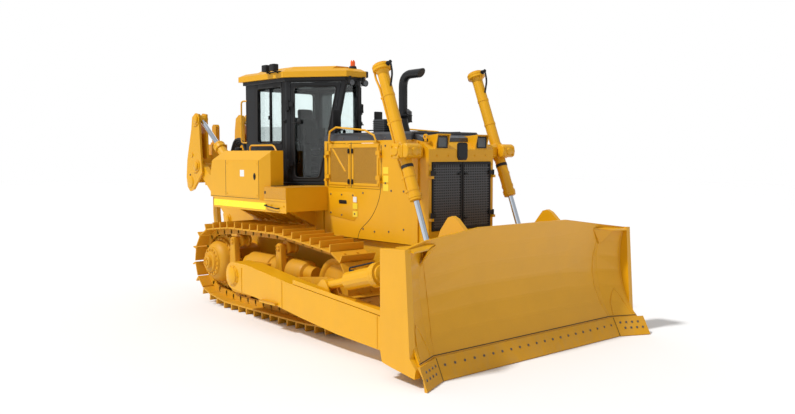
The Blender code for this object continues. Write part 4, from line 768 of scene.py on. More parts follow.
def eased(points, radius, steps=4, closed=False):
    """The same route with its corners turned into short curves."""
    route = [Vector(p) for p in points]
    result = []
    for i, here in enumerate(route):
        if not closed and i in (0, len(route) - 1):
            result.append(here)
            continue
        before, after = route[i - 1] - here, route[(i + 1) % len(route)] - here
        a = here + before.normalized() * min(radius, before.length / 2)
        b = here + after.normalized() * min(radius, after.length / 2)
        for k in range(steps + 1):
            t = k / steps
            result.append(a * (1 - t) ** 2 + here * 2 * t * (1 - t) + b * t ** 2)
    return result


def door_reach(z):
    """Length of the slanting wall at height z."""
    return 0.601 + 0.324 * (z - 1.96) / 1.64


def on_door(side, shape):
    """Carries a shape made with x along the door wall and y outwards onto one side's wall."""
    turn = Matrix.Translation((PILLAR_X, PILLAR_Y, 0)) @ Matrix.Rotation(math.atan2(WALL_Y, WALL_X), 4, "Z")
    bmesh.ops.transform(shape, matrix=turn, verts=shape.verts)
    if side < 0:
        bmesh.ops.scale(shape, verts=shape.verts, vec=(1, -1, 1))
    return shape


def side_y(x):
    """Distance of the rear side wall from the centre plane."""
    return REAR_Y + (PILLAR_Y - REAR_Y) * (x - REAR_X) / (PILLAR_X - REAR_X)


for side, which in ((-1, "right"), (1, "left")):
    body = "cab_door_" + which
    pane = [(0.121, DOOR_LOW + 0.055), (door_reach(DOOR_LOW) - 0.10, DOOR_LOW + 0.055),
            (door_reach(DOOR_HIGH) - 0.115, DOOR_HIGH - 0.055), (0.121, DOOR_HIGH - 0.055)]
    seal = on_door(side, hose(eased([(a, 0.002, z) for a, z in pane], 0.07, 5, True), 0.011, 8, True))
    part_from("door_glass_seal_" + which, seal, body, rubber, 60)
    handle = gather(lathe((0.20, 0.0, 2.93), (0.20, 0.05, 2.93), [(0, 0), (0, 0.036), (0.022, 0.034),
                                                                 (0.03, 0.02), (0.03, 0)], 20),
                    hose(eased([(0.20, 0.022, 2.93), (0.155, 0.040, 2.915), (0.10, 0.040, 2.91)], 0.02),
                         0.009, 8))
    part_from("door_handle_" + which, on_door(side, handle), body, black, 50)
    pull = on_door(side, hose(eased([(0.17, -0.05, 2.30), (0.17, -0.11, 2.33), (0.17, -0.11, 2.86),
                                     (0.17, -0.05, 2.89)], 0.03), 0.011, 10))
    part_from("door_pull_" + which, pull, body, black, 50)
    sill = on_door(side, block(0.10, door_reach(DOOR_LOW) - 0.08, 0.0, 0.006, DOOR_LOW + 0.008,
                               DOOR_LOW + 0.034, 0.002))
    part_from("door_sill_strip_" + which, sill, body, rubber, 0)
    leaves = []
    for level in (2.25, 3.15):
        leaves.append(block(-0.012, 0.024, 0.012, 0.030, level - 0.07, level + 0.11, 0.004))
        leaves.append(lathe((0.03, 0.03, level + 0.09), (0.03, 0.03, level + 0.104),
                            [(0, 0), (0, 0.019), (0.010, 0.016), (0.014, 0.0)], 16))
    part_from("door_hinge_caps_" + which, on_door(side, gather(*leaves)), "tractor", black, 40)
    route = [(-1.27, 2.60), (-0.57, 2.60), (-0.57, 3.48), (-1.27, 3.48)]
    seal = hose(eased([(x, side * (side_y(x) + 0.001), z) for x, z in route], 0.07, 5, True), 0.012, 8, True)
    part_from("rear_side_seal_" + which, seal, "tractor", rubber, 60)
    hatch = [block(x0, x1, *sorted((side * (side_y((x0 + x1) / 2) - 0.004), side * (side_y((x0 + x1) / 2) + 0.003))),
                   z0, z1, 0.001) for x0, x1, z0, z1 in ((-1.36, -1.27, 2.52, 3.54), (-0.57, -0.51, 2.52, 3.54),
                                                         (-1.27, -0.57, 2.52, 2.60), (-1.27, -0.57, 3.48, 3.54))]
    part_from("rear_side_border_" + which, gather(*hatch), "tractor", black, 0)
    divider = gather(block(-0.975, -0.945, *sorted((side * 0.655, side * 0.700)), 2.60, 3.48, 0.004),
                     block(-1.25, -0.59, *sorted((side * 0.660, side * 0.690)), 2.615, 2.64, 0.003),
                     block(-0.99, -0.972, *sorted((side * 0.690, side * 0.712)), 2.98, 3.04, 0.004))
    part_from("sliding_pane_rails_" + which, divider, "tractor", black, 40)
    latch = gather(block(-0.53, -0.455, *sorted((side * 0.715, side * 0.745)), 2.915, 2.965, 0.006),
                   rod((-0.49, side * 0.745, 2.94), (-0.49, side * 0.762, 2.94), 0.018, 16, 0.004))
    part_from("door_catch_" + which, latch, "tractor", black, 40)
    grab = hose(eased([(-1.60, side * 0.735, 2.62), (-1.68, side * 0.79, 2.62), (-1.68, side * 0.79, 3.30),
                       (-1.60, side * 0.735, 3.30)], 0.05), 0.014, 10)
    part_from("rear_grab_tube_" + which, grab, "tractor", yellow, 50)
    mirror = gather(hose(eased([(0.15, side * 0.24, 2.80), (0.40, side * 0.28, 2.80), (0.40, side * 0.40, 2.80),
                                (0.40, side * 0.40, 2.88)], 0.03), 0.010, 8),
                    block(0.380, 0.415, *sorted((side * 0.325, side * 0.475)), 2.84, 3.09, 0.012, 2))
    part_from("side_mirror_" + which, mirror, "tractor", black, 40)
    silver = block(0.3775, 0.3802, *sorted((side * 0.340, side * 0.460)), 2.855, 3.075, 0.0)
    part_from("mirror_glass_" + which, silver, "tractor", chrome, 0)

front_y = PILLAR_Y + WALL_Y * door_reach(3.6)
front_x = PILLAR_X + WALL_X * door_reach(3.6)
for name, grow, z0, z1, look, slot in (("roof_soffit", 0.035, 3.545, 3.602, charcoal, "cab_charcoal"),
                                       ("cab_sill_band", 0.012, 1.962, 2.005, charcoal, "cab_charcoal")):
    tip_x = front_x if z0 > 3 else PILLAR_X + WALL_X * door_reach(2.0)
    tip_y = front_y if z0 > 3 else PILLAR_Y + WALL_Y * door_reach(2.0)
    half = [(REAR_X - grow, REAR_Y + grow), (PILLAR_X + grow * 0.3, PILLAR_Y + grow), (tip_x + grow, tip_y + grow * 0.6)]
    band = plate([(x, -y) for x, y in half] + half[::-1], "z", z0, z1, 0.006)
    part_from(name, band, "tractor", look, 0)

# Front screen seal, one wiper with its motor's cap, and the rear screen seal.
lean = (door_reach(3.50) - door_reach(2.42)) * WALL_X / 1.08
corners = []
for z, side in ((2.42, -1), (2.42, 1), (3.50, 1), (3.50, -1)):
    reach = door_reach(z)
    corners.append((PILLAR_X + WALL_X * reach + 0.002, side * (PILLAR_Y + WALL_Y * reach - 0.045), z))
part_from("front_screen_seal", hose(eased(corners, 0.05, 4, True), 0.012, 8, True), "tractor", rubber,
          60)
low_x = PILLAR_X + WALL_X * door_reach(2.42)
wiper = gather(hose([(low_x + 0.02, 0.02, 2.40), (low_x + 0.05 + lean * 0.45, 0.10, 2.86)], 0.007, 8),
               hose([(low_x + 0.035 + lean * 0.22, 0.10, 2.66), (low_x + 0.035 + lean * 0.72, 0.10, 3.14)],
                    0.006, 6),
               lathe((low_x, 0.02, 2.40), (low_x + 0.06, 0.02, 2.40), [(0, 0), (0, 0.026), (0.04, 0.022),
                                                                    (0.06, 0.0)], 16))
part_from("front_wiper", wiper, "tractor", black, 40)
rear_seal = [(REAR_X - 0.002, y, z) for y, z in ((-0.60, 2.60), (0.60, 2.60), (0.60, 3.48), (-0.60, 3.48))]
part_from("rear_screen_seal", hose(eased(rear_seal, 0.07, 5, True), 0.012, 8, True), "tractor", rubber,
          60)

# ------------------------------------------------------------------ roof, lamps and beacon
# Pressed yellow roof with a raised panel, work lamps at its rear edge and under its front edge,
# an aerial stud and the beacon's black base.
for side, which in ((-1, "right"), (1, "left")):
    lamp, lens = [], []
    for x in (-0.76, -0.54):
        lamp += [block(x - 0.075, x + 0.055, *sorted((side * 0.830, side * 0.925)), 3.700, 3.805, 0.014, 2),
                 hose([(x, side * 0.80, 3.675), (x, side * 0.87, 3.700)], 0.012, 8)]
        lens.append(block(x - 0.081, x - 0.074, *sorted((side * 0.842, side * 0.913)), 3.712, 3.793, 0.004))
    lamp.append(block(-0.84, -0.48, *sorted((side * 0.775, side * 0.835)), 3.684, 3.700, 0.003))
    part_from("rear_work_lamps_" + which, gather(*lamp), "tractor", black, 40)
    part_from("rear_lamp_lenses_" + which, gather(*lens), "tractor", clear, 0)
    lamp = gather(lathe((0.345, side * 0.13, 3.515), (0.43, side * 0.13, 3.505),
                        [(0, 0), (0, 0.030), (0.03, 0.045), (0.085, 0.050), (0.085, 0.0)], 20),
                  block(0.36, 0.39, *sorted((side * 0.115, side * 0.145)), 3.55, 3.605, 0.0))
    part_from("front_work_lamp_" + which, lamp, "tractor", black, 40)
    lens = lathe((0.428, side * 0.13, 3.506), (0.436, side * 0.13, 3.505), [(0, 0), (0, 0.044), (0.006, 0.036),
                                                                          (0.008, 0.0)], 20)
    part_from("front_lamp_lens_" + which, lens, "tractor", clear, 30)
    rear_lamp = gather(lathe((-1.63, side * 0.70, 2.45), (-1.70, side * 0.70, 2.45),
                             [(0, 0), (0, 0.035), (0.05, 0.05), (0.07, 0.05), (0.07, 0.0)], 20),
                       block(-1.70, -1.62, *sorted((side * 0.685, side * 0.715)), 2.40, 2.43, 0.0))
    part_from("rear_corner_lamp_" + which, rear_lamp, "tractor", black, 40)
stud = lathe((-0.90, 0.04, 3.785), (-0.90, 0.04, 3.864), [(0, 0), (0, 0.020), (0.012, 0.020), (0.02, 0.008),
                                                         (0.06, 0.008), (0.079, 0.0)], 16)
part_from("aerial_stud", stud, "tractor", black, 40)
base = lathe((0.20, 0.06, 3.731), (0.20, 0.06, 3.775), [(0, 0), (0, 0.060), (0.008, 0.062), (0.03, 0.056),
                                                       (0.044, 0.052), (0.044, 0.0)], 24)
part_from("beacon_base", base, "tractor", black, 40)

# ------------------------------------------------------------------ operator's seat and controls
# Air-suspended seat with crowned cushions in woven cloth, armrest pods with two joysticks,
# a display on the console and a footrest.
SEAT_X, FLOOR = -0.72, 2.01


def cushion(name, outline, depth, crown, place, tilt):
    """A stuffed pad: a grid over a rectangle whose top swells and whose edge is pulled in."""
    width, length = outline
    bm = bmesh.new()
    bmesh.ops.create_grid(bm, x_segments=10, y_segments=10, size=0.5)
    top = bm.faces[:]
    grown = bmesh.ops.extrude_face_region(bm, geom=top)
    lifted = [v for v in grown["geom"] if isinstance(v, bmesh.types.BMVert)]
    for v in bm.verts:
        v.co.z = -depth
    for v in lifted:
        swell = (1 - (2 * v.co.x) ** 4) * (1 - (2 * v.co.y) ** 4)
        v.co.z = crown * swell
    for v in bm.verts:
        waist = 1 - 0.05 * (1 - min(1.0, abs(abs(v.co.x) - abs(v.co.y)) * 2)) ** 2
        v.co.x *= width * waist
        v.co.y *= length * waist
    bmesh.ops.recalc_face_normals(bm, faces=bm.faces)
    edges = [e for e in bm.edges if e.calc_face_angle(0) > 0.9]
    bmesh.ops.bevel(bm, geom=edges, offset=min(depth, 0.05) * 0.45, segments=3, profile=0.5,
                    affect="EDGES", material=-1)
    bmesh.ops.transform(bm, matrix=Matrix.Translation(place) @ Matrix.Rotation(tilt, 4, "Y"), verts=bm.verts)
    pad = part_from(name, bm, "tractor", cloth, 60)
    finer = pad.modifiers.new("soft", "SUBSURF")
    finer.levels = finer.render_levels = 1
    return pad


lean_back = math.radians(-96)
seat_pad = cushion("seat_cushion", (0.50, 0.46), 0.085, 0.035, (SEAT_X + 0.01, 0, FLOOR + 0.475),
                   math.radians(-4))
cushion("seat_backrest", (0.54, 0.44), 0.075, 0.035, (SEAT_X - 0.215, 0, FLOOR + 0.755), lean_back + math.pi)
cushion("seat_headrest", (0.17, 0.28), 0.060, 0.025, (SEAT_X - 0.245, 0, FLOOR + 1.075), lean_back + math.pi)
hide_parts("operator_seat")
for side, which in ((-1, "right"), (1, "left")):
    cushion("armrest_pad_" + which, (0.34, 0.09), 0.025, 0.018, (SEAT_X - 0.02, side * 0.385, FLOOR + 0.635), 0.0)
    pod = gather(block(SEAT_X - 0.20, SEAT_X + 0.36, *sorted((side * 0.315, side * 0.455)), FLOOR + 0.06,
                       FLOOR + 0.60, 0.03, 3))
    part_from("armrest_pod_" + which, pod, "tractor", charcoal, 40)
    stick = gather(lathe((SEAT_X + 0.26, side * 0.385, FLOOR + 0.595), (SEAT_X + 0.27, side * 0.385, FLOOR + 0.83),
                         [(0, 0), (0, 0.045), (0.02, 0.04), (0.07, 0.016), (0.13, 0.014), (0.14, 0.024),
                          (0.21, 0.028), (0.235, 0.0)], 20))
    part_from("joystick_" + which, stick, "tractor", black, 50)
bellows = lathe((SEAT_X - 0.01, 0, FLOOR + 0.02), (SEAT_X - 0.01, 0, FLOOR + 0.40),
                [(0, 0), (0, 0.20)] + [(0.03 + 0.026 * k, 0.19 if k % 2 else 0.165) for k in range(12)]
                + [(0.36, 0.20), (0.38, 0.20), (0.38, 0)], 28)
part_from("seat_suspension", bellows, "tractor", rubber, 30)
pan = gather(block(SEAT_X - 0.26, SEAT_X + 0.26, -0.24, 0.24, FLOOR + 0.372, FLOOR + 0.392, 0.008),
             block(SEAT_X - 0.32, SEAT_X - 0.285, -0.20, 0.20, FLOOR + 0.45, FLOOR + 1.02, 0.012, 2),
             rod((SEAT_X - 0.29, -0.07, FLOOR + 0.98), (SEAT_X - 0.30, -0.07, FLOOR + 1.10), 0.008),
             rod((SEAT_X - 0.29, 0.07, FLOOR + 0.98), (SEAT_X - 0.30, 0.07, FLOOR + 1.10), 0.008))
part_from("seat_frame", pan, "tractor", black, 40)
screen_box = gather(block(-0.20, -0.165, -0.42, -0.20, 2.66, 2.84, 0.010, 2),
                    hose(eased([(-0.18, -0.20, 2.52), (-0.18, -0.31, 2.58), (-0.18, -0.31, 2.68)], 0.05), 0.011, 8))
part_from("display_housing", screen_box, "tractor", black, 40)
face = block(-0.2030, -0.1995, -0.405, -0.215, 2.685, 2.825, 0.0)
part_from("display_glass", face, "tractor", glass, 0)
dials = [lathe((-0.232, y, 2.628), (-0.245, y, 2.648), [(0, 0), (0, 0.032), (0.018, 0.030), (0.02, 0.026),
                                                       (0.02, 0.0)], 20) for y in (-0.13, -0.045, 0.045, 0.13)]
part_from("console_gauges", gather(*dials), "tractor", black, 40)
rest = gather(block(-0.36, -0.30, -0.20, 0.20, FLOOR + 0.04, FLOOR + 0.10, 0.006),
              block(-0.40, -0.31, -0.17, -0.05, FLOOR + 0.10, FLOOR + 0.115, 0.003),
              block(-0.40, -0.31, 0.05, 0.17, FLOOR + 0.10, FLOOR + 0.115, 0.003))
part_from("brake_pedals", rest, "tractor", bare, 0)

# ------------------------------------------------------------------ tanks, decks and blank plates
# Folded fuel and oil tanks on the fenders: hinged panel seams, oval latches, a reflective lemon
# strip, tread-plate decks with a toe step, and blank label plates on the engine side.
lemon = coated("reflective lemon strip", (0.86, 0.82, 0.01), 0.25, 0.05, 0.0, 0.1)
plate_white = coated("blank white plate", (0.78, 0.78, 0.76), 0.35, 0.05, 0.0, 0.1)
plate_yellow = coated("blank yellow plate", (0.85, 0.62, 0.03), 0.35, 0.05, 0.0, 0.1)
tread = coated("tread plate", (0.64, 0.295, 0.008), 0.42, 0.25, 0.15, 0.2)
tree = tread.node_tree
spot = node(tree, "TexCoord")
slant = node(tree, "Mapping", _2=(0.6, 0.6, 0.785))
lugs = node(tree, "TexChecker", Scale=46.0)
raised = node(tree, "Bump", Strength=0.9, Distance=0.004)
join(tree, (spot.outputs["Object"], slant.inputs[0]), (slant.outputs[0], lugs.inputs["Vector"]),
     (lugs.outputs["Fac"], raised.inputs["Height"]), (tree.nodes["Bump"].outputs[0], raised.inputs["Normal"]),
     (raised.outputs[0], tree.nodes["Principled BSDF"].inputs["Normal"]))
TANK_OUT, DECK_TOP = 1.35, 1.96
for side, which in ((-1, "right"), (1, "left")):
    def across(a, b):
        return sorted((side * a, side * b))

    seams = gather(block(-1.222, -1.214, *across(TANK_OUT, TANK_OUT + 0.0015), 1.80, 2.345, 0),
                   block(-1.70, -0.24, *across(TANK_OUT, TANK_OUT + 0.0015), 1.775, 1.781, 0),
                   block(-0.245, -0.239, *across(TANK_OUT, TANK_OUT + 0.0015), 1.78, 2.345, 0))
    part_from("tank_seams_" + which, seams, "tractor", rubber, 0, False)
    panel = plate([(-1.205, 1.80), (-0.255, 1.80), (-0.255, 2.335), (-1.205, 2.335)], "y", side * TANK_OUT,
                  side * (TANK_OUT + 0.004), 0.002)
    part_from("tank_panel_" + which, panel, "tractor", yellow, 0, False)
    oval = [(-0.355 + 0.032 * math.cos(a) * (0.9 if abs(math.sin(a)) > 0.5 else 1), 2.107 + 0.052 * math.sin(a))
            for a in (math.tau * k / 24 for k in range(24))]
    latch = gather(plate(oval, "y", side * TANK_OUT, side * (TANK_OUT + 0.010), 0.003, 2),
                   block(-0.366, -0.344, *across(TANK_OUT + 0.008, TANK_OUT + 0.018), 2.085, 2.130, 0.005, 2))
    part_from("tank_latch_" + which, latch, "tractor", black, 40, False)
    strip = block(-1.60, -0.06, *across(TANK_OUT - 0.001, TANK_OUT + 0.003), 1.628, 1.728, 0.001)
    part_from("lemon_strip_" + which, strip, "tractor", lemon, 0, False)
    step = hose(eased([(-0.03, side * 1.345, 1.70), (-0.03, side * 1.40, 1.70), (0.30, side * 1.40, 1.665),
                       (0.30, side * 1.345, 1.665)], 0.03), 0.010, 8)
    part_from("toe_step_" + which, step, "tractor", black, 50)
    deck = gather(block(-0.095, 0.475, *across(0.64, 1.345), DECK_TOP, DECK_TOP + 0.006, 0.001),
                  block(-0.095, 0.475, *across(TANK_OUT, TANK_OUT + 0.005), 1.80, DECK_TOP, 0.001))
    part_from("tread_deck_" + which, deck, "tractor", tread, 0, False)
    lip = gather(block(-0.105, 0.485, *across(TANK_OUT, TANK_OUT + 0.008), 1.765, 1.795, 0.003),
                 block(-1.60, 0.485, *across(TANK_OUT - 0.01, TANK_OUT + 0.008), 1.600, 1.622, 0.003))
    part_from("deck_lip_" + which, lip, "tractor", yellow, 0, False)
    # black patches and strips on the deck and the tank side: painted shade in the gaps between the parts
    dark = gather(block(-0.24, 0.0, *across(1.0, TANK_OUT - 0.12), DECK_TOP - 0.002, DECK_TOP + 0.012, 0.002),
                  block(-0.085, -0.045, *across(TANK_OUT + 0.003, TANK_OUT + 0.0065), 1.862, 1.902, 0.0),
                  block(-0.10, 0.0, *across(0.70, 0.72), 1.97, 1.985, 0.0))
    part_from("deck_gap_shade_" + which, dark, "tractor", rubber, 0, False)
    edge = [((x, side * (TANK_OUT + 0.004), z), (0, side, 0)) for x, z in
            ((-1.17, 1.83), (-0.29, 1.83), (-1.17, 2.30), (-0.29, 2.30), (0.42, 1.70), (0.10, 1.70))]
    edge += [((x, side * 1.10, 2.4885), (0, 0, 1)) for x in (-1.40, -0.98, -0.20)]
    bolts("tank_bolts_" + which, edge, 0.010, 0.008, "tractor", yellow)
    cap = lathe((-1.25, side * 1.10, 2.487), (-1.25, side * 1.10, 2.545),
                [(0, 0), (0, 0.075), (0.012, 0.075), (0.014, 0.055), (0.045, 0.055), (0.052, 0.045), (0.058, 0.0)], 24)
    part_from("filler_cap_" + which, cap, "tractor", black, 40)
    labels = [block(1.735, 1.845, *across(0.6252, 0.6272), z - 0.045, z + 0.045, 0.0) for z in (2.22, 2.105, 1.99)]
    labels += [block(1.075, 1.185, *across(0.631, 0.6322), z - 0.04, z + 0.04, 0.0) for z in (1.71, 1.60)]
    part_from("blank_label_plates_" + which, gather(*labels), "tractor", plate_yellow, 0, False)
    label = gather(block(1.085, 1.165, *across(0.631, 0.6324), 1.765, 1.84, 0.0),
                   block(-0.775, -0.655, *across(TANK_OUT + 0.004, TANK_OUT + 0.0055), 2.10, 2.20, 0.0))
    part_from("blank_white_plates_" + which, label, "tractor", plate_white, 0, False)
    route = [(1.70, 2.56), (1.69, 1.95), (1.62, 1.75), (1.47, 1.55), (1.22, 1.38), (1.18, 1.25)]
    curve = hose(eased([(x, side * 0.6255, z) for x, z in route], 0.12, 4), 0.0035, 6)
    part_from("engine_side_seam_" + which, curve, "tractor", rubber, 60)
    brackets = gather(*[plate([(side * 0.63, 1.585), (side * 1.10, 1.585), (side * 0.63, 1.37)], "x", x, x + 0.014)
                        for x in (-1.30, -1.10, -0.90, -0.60, -0.40, -0.20)])
    part_from("fender_ribs_" + which, brackets, "tractor", yellow, 0, False)

# ------------------------------------------------------------------ exhaust, hood top and intake
# Wide exhaust pipe with a mandrel bend and a slant-cut tip over a flared collar, the dark cover
# behind the lamps, and hood-top boxes with their louvres and clamps.
STACK_X, STACK_Z = 1.43, 2.737
pipe = eased([(STACK_X, 0, STACK_Z + 0.01), (STACK_X, 0, 3.55), (1.87, 0, 3.555)], 0.17, 12)
walls = hose(pipe, 0.062, 32)
bmesh.ops.bisect_plane(walls, geom=walls.verts[:] + walls.edges[:] + walls.faces[:], dist=1e-6,
                       plane_co=(1.81, 0, 3.555), plane_no=Vector((0.85, 0, -0.52)).normalized(), clear_outer=True)
bmesh.ops.holes_fill(walls, edges=[e for e in walls.edges if e.is_boundary], sides=0)
stack = gather(walls,
               lathe((STACK_X, 0, STACK_Z), (STACK_X, 0, 3.1),
                     [(0, 0), (0, 0.125), (0.012, 0.125), (0.016, 0.105), (0.10, 0.082), (0.18, 0.066), (0.20, 0.062),
                      (0.20, 0)], 36),
               lathe((STACK_X, 0, 2.98), (STACK_X, 0, 3.02), [(0, 0.061), (0, 0.069), (0.028, 0.069), (0.028, 0.061)], 32),
               rod((STACK_X + 0.06, 0.03, 2.994), (STACK_X + 0.095, 0.03, 2.994), 0.008, 8))
part_from("exhaust_pipe", stack, "tractor", charcoal, 40)
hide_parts("exhaust_stack")
# a black disc just inside the pipe's filled tip: painted shade of the hollow bore
bore_shade_disc = lathe((1.745, 0, 3.555), (1.80, 0, 3.555), [(0, 0), (0, 0.052), (0.01, 0.052), (0.01, 0)], 24)
part_from("exhaust_bore_shade", bore_shade_disc, "tractor", rubber, 0)
louvres = [block(1.052, 1.308, -0.248, 0.108, 2.768 + 0.026 * k, 2.778 + 0.026 * k, 0.002) for k in range(6)]
part_from("hood_box_louvres", gather(*louvres), "tractor", black, 0)
ring = lathe((1.18, 0.26, 2.90), (1.18, 0.26, 3.06), [(0, 0.10), (0, 0.106), (0.012, 0.106), (0.016, 0.101),
                                                    (0.09, 0.101), (0.094, 0.106), (0.106, 0.106), (0.106, 0.10)], 32)
part_from("intake_bands", ring, "tractor", rubber, 40)
cover = plate([(1.98, 2.722), (2.30, 2.705), (2.46, 2.655), (2.46, 2.600), (1.98, 2.600)], "y", -0.575, 0.575, 0.004)
part_from("hood_nose_cover", cover, "tractor", hood_grey, 0)
ridge = [block(0.42, 2.25, *sorted((side * 0.30, side * 0.325)), 2.7345, 2.744, 0.004) for side in (-1, 1)]
part_from("hood_ridges", gather(*ridge), "tractor", hood_grey, 0)
heads = [((x, side * 0.6253, 2.66), (0, side, 0)) for side in (-1, 1) for x in (0.48, 0.85, 1.22, 1.78, 2.15)]
bolts("hood_side_bolts", heads, 0.010, 0.008, "tractor", bare)

# ------------------------------------------------------------------ blade dressing
# Plough bolts along the cutting edge and end bits, the welds that run round the wings, corner
# gussets, and wear plates; all of it follows the moldboard's curve.
CURVE, CURVE_X, CURVE_Z = 1.413, 4.976, 1.0135
CORNER, TIP = 1.64, 2.065


def on_face(y, z, out=0.0):
    """A point on the moldboard's front, a little ahead of it."""
    wing = 0.21 * max(0.0, abs(y) - CORNER) / (TIP - CORNER) * (1 - 0.18 * max(z, 0.235))
    return Vector((CURVE_X - math.sqrt(CURVE ** 2 - (z - CURVE_Z) ** 2) + wing + out, y, z))


def on_edge(y, z, out=0.0):
    """A point on the sloping face of the cutting edge plate."""
    wing = 0.21 * max(0.0, abs(y) - CORNER) / (TIP - CORNER) * 0.96
    return Vector((3.949 - 0.116 * (z - 0.012) / 0.231 + wing + out, y, z))


edge_out = Vector((0.894, 0, 0.449))
spots = [(on_edge(-1.55 + 3.1 * k / 20, 0.155), edge_out) for k in range(21)]
for side in (-1, 1):
    wing_out = Vector((0.80, -side * 0.43, 0.42))
    spots += [(on_edge(side * (1.72 + 0.08 * k), 0.175), wing_out) for k in range(4)]
    spots += [(on_edge(side * (1.76 + 0.08 * k), 0.105), wing_out) for k in range(4)]
heads = copies(lathe((0, 0, -0.004), (0, 0, 0.008), [(0, 0), (0, 0.016), (0.009, 0.015), (0.009, 0.009),
                                                    (0.005, 0.008), (0.005, 0.0)], 12),
               [facing_matrix(point, out) for point, out in spots])
part_from("plough_bolts", heads, "blade", bare, 30)
seams = []
for side in (-1, 1):
    seams.append(hose([on_edge(side * (CORNER + 0.01), 0.012 + 0.225 * k / 4, 0.001) for k in range(5)], 0.004, 6))
seams.append(hose([on_face(y, 0.252, 0.003) for y in (-2.0, -CORNER, CORNER, 2.0)], 0.0045, 6))
part_from("edge_seams", gather(*seams), "blade", rubber, 60)
welds = []
for side in (-1, 1):
    welds.append(hose([on_face(side * (1.66 - 0.13 * math.sin(math.pi * (0.1 + 0.85 * k / 16))),
                               0.27 + 1.10 * k / 16, 0.002) for k in range(17)], 0.008, 6))
    welds.append(hose([on_face(side * 1.975, 0.28 + 1.12 * k / 14, 0.004) for k in range(15)], 0.008, 6))
    rise = [(1.70, 0.27), (1.73, 0.42), (1.79, 0.55), (1.84, 0.60), (1.88, 0.55), (1.93, 0.40), (1.96, 0.27)]
    welds.append(hose([on_face(side * y, z, 0.004) for y, z in rise], 0.007, 6))
part_from("wing_welds", gather(*welds), "blade", blade_yellow, 60)
corner_plates = []
for side in (-1, 1):
    shelf = bmesh.new()
    ring = [on_face(side * 1.46, 1.44, -0.004), on_face(side * 1.64, 1.44, -0.004),
            on_face(side * 1.984, 1.42, -0.004), on_face(side * 1.984, 1.40, 0.105),
            on_face(side * 1.70, 1.405, 0.125)]
    low = [shelf.verts.new(p) for p in ring]
    high = [shelf.verts.new(p + Vector((0, 0, 0.014))) for p in ring]
    shelf.faces.new(low)
    shelf.faces.new(high)
    for k in range(5):
        shelf.faces.new((low[k], low[(k + 1) % 5], high[(k + 1) % 5], high[k]))
    apron = bmesh.new()
    ring = [on_face(side * 1.47, 1.435, 0.0), on_face(side * 1.70, 1.404, 0.122), on_face(side * 1.66, 1.22, 0.004)]
    low = [apron.verts.new(p) for p in ring]
    high = [apron.verts.new(p + Vector((0.012, -side * 0.008, 0))) for p in ring]
    apron.faces.new(low)
    apron.faces.new(high)
    for k in range(3):
        apron.faces.new((low[k], low[(k + 1) % 3], high[(k + 1) % 3], high[k]))
    corner_plates += [shelf, apron]
part_from("corner_gussets", gather(*corner_plates), "blade", blade_yellow, 0)
skin = bmesh.new()
rows = [[skin.verts.new(on_face(y, 0.262 + (top - 0.262) * k / 24, 0.0012)) for k in range(25)]
        for y, top in ((-1.975, 1.435), (-1.64, 1.484), (-0.811, 1.588), (0.811, 1.588), (1.64, 1.484),
                       (1.975, 1.435))]
for a, b in zip(rows, rows[1:]):
    for k in range(24):
        skin.faces.new((a[k], b[k], b[k + 1], a[k + 1]))
bmesh.ops.recalc_face_normals(skin, faces=skin.faces)
back = bmesh.ops.extrude_face_region(skin, geom=skin.faces[:])
bmesh.ops.translate(skin, verts=[v for v in back["geom"] if isinstance(v, bmesh.types.BMVert)], vec=(-0.006, 0, 0))
part_from("moldboard_skin", skin, "blade", blade_yellow, 20)
stiffeners = []
for side in (-1, 1):
    for y in (0.35, 0.72, 1.05, 1.36):
        stiffeners.append(plate([(3.385, 0.52), (3.45, 0.52), (3.53, 0.86), (3.53, 1.18), (3.50, 1.22), (3.385, 1.22)],
                                "y", side * y - 0.008, side * y + 0.008))
part_from("blade_back_ribs", gather(*stiffeners), "blade", yellow, 0)

# ------------------------------------------------------------------ push arms and tilt link
# Box-section arms with a ball-cap at the trunnion, a step pad, a hose guard along the top, and
# the tilt cylinder's bolted head.
for side, which in ((-1, "right"), (1, "left")):
    cap = lathe((-0.35, side * 1.735, 0.67), (-0.35, side * 1.80, 0.67),
                [(0, 0), (0, 0.150), (0.012, 0.150), (0.016, 0.128), (0.04, 0.120), (0.058, 0.085), (0.065, 0.0)], 32)
    part_from("trunnion_cap_" + which, cap, "blade", yellow, 40)
    ring = [((-0.35 + 0.138 * math.cos(a), side * 1.747, 0.67 + 0.138 * math.sin(a)), (0, side, 0))
            for a in (math.tau * k / 10 for k in range(10))]
    bolts("trunnion_bolts_" + which, ring, 0.012, 0.010, "blade", yellow)
    seam = hose([(-0.10, side * 1.742, 0.44 + 0.041 * k) for k in range(10)], 0.006, 6)
    rail = gather(plate([(1.20, 0.733), (3.02, 0.583), (3.02, 0.597), (1.20, 0.747)], "y", *sorted((side * 1.66,
                                                                                              side * 1.73)), 0.002),
                  plate([(1.20, 0.733), (3.02, 0.583), (3.02, 0.640), (1.20, 0.790)], "y", *sorted((side * 1.722,
                                                                                              side * 1.733)), 0.002))
    part_from("arm_top_rail_" + which, rail, "blade", yellow, 0)
    ribs = [hose([(x, side * 1.742, low + 0.005), (x, side * 1.742, high - 0.005)], 0.006, 6)
            for x, low, high in ((0.95, 0.375, 0.745), (2.95, 0.19, 0.58))]
    part_from("arm_welds_" + which, gather(seam, *ribs), "blade", yellow, 60)
    treads = block(0.46, 0.84, *sorted((side * 1.735, side * 1.795)), 0.424, 0.430, 0.001)
    part_from("arm_step_tread_" + which, treads, "blade", tread, 0)
tilt_a, tilt_b = Vector((1.80, -1.60, 0.775)), Vector((3.30, -1.60, 1.145))
along = (tilt_b - tilt_a).normalized()
head = lathe(tilt_a + along * 1.0, tilt_a + along * 1.13,
             [(0, 0.116), (0.0, 0.150), (0.035, 0.150), (0.04, 0.142), (0.045, 0.150), (0.085, 0.150), (0.09, 0.115),
              (0.12, 0.105), (0.13, 0.06), (0.13, 0.0)], 32)
part_from("tilt_head", head, "blade", yellow, 40)
up = Vector((-along.z, 0, along.x))
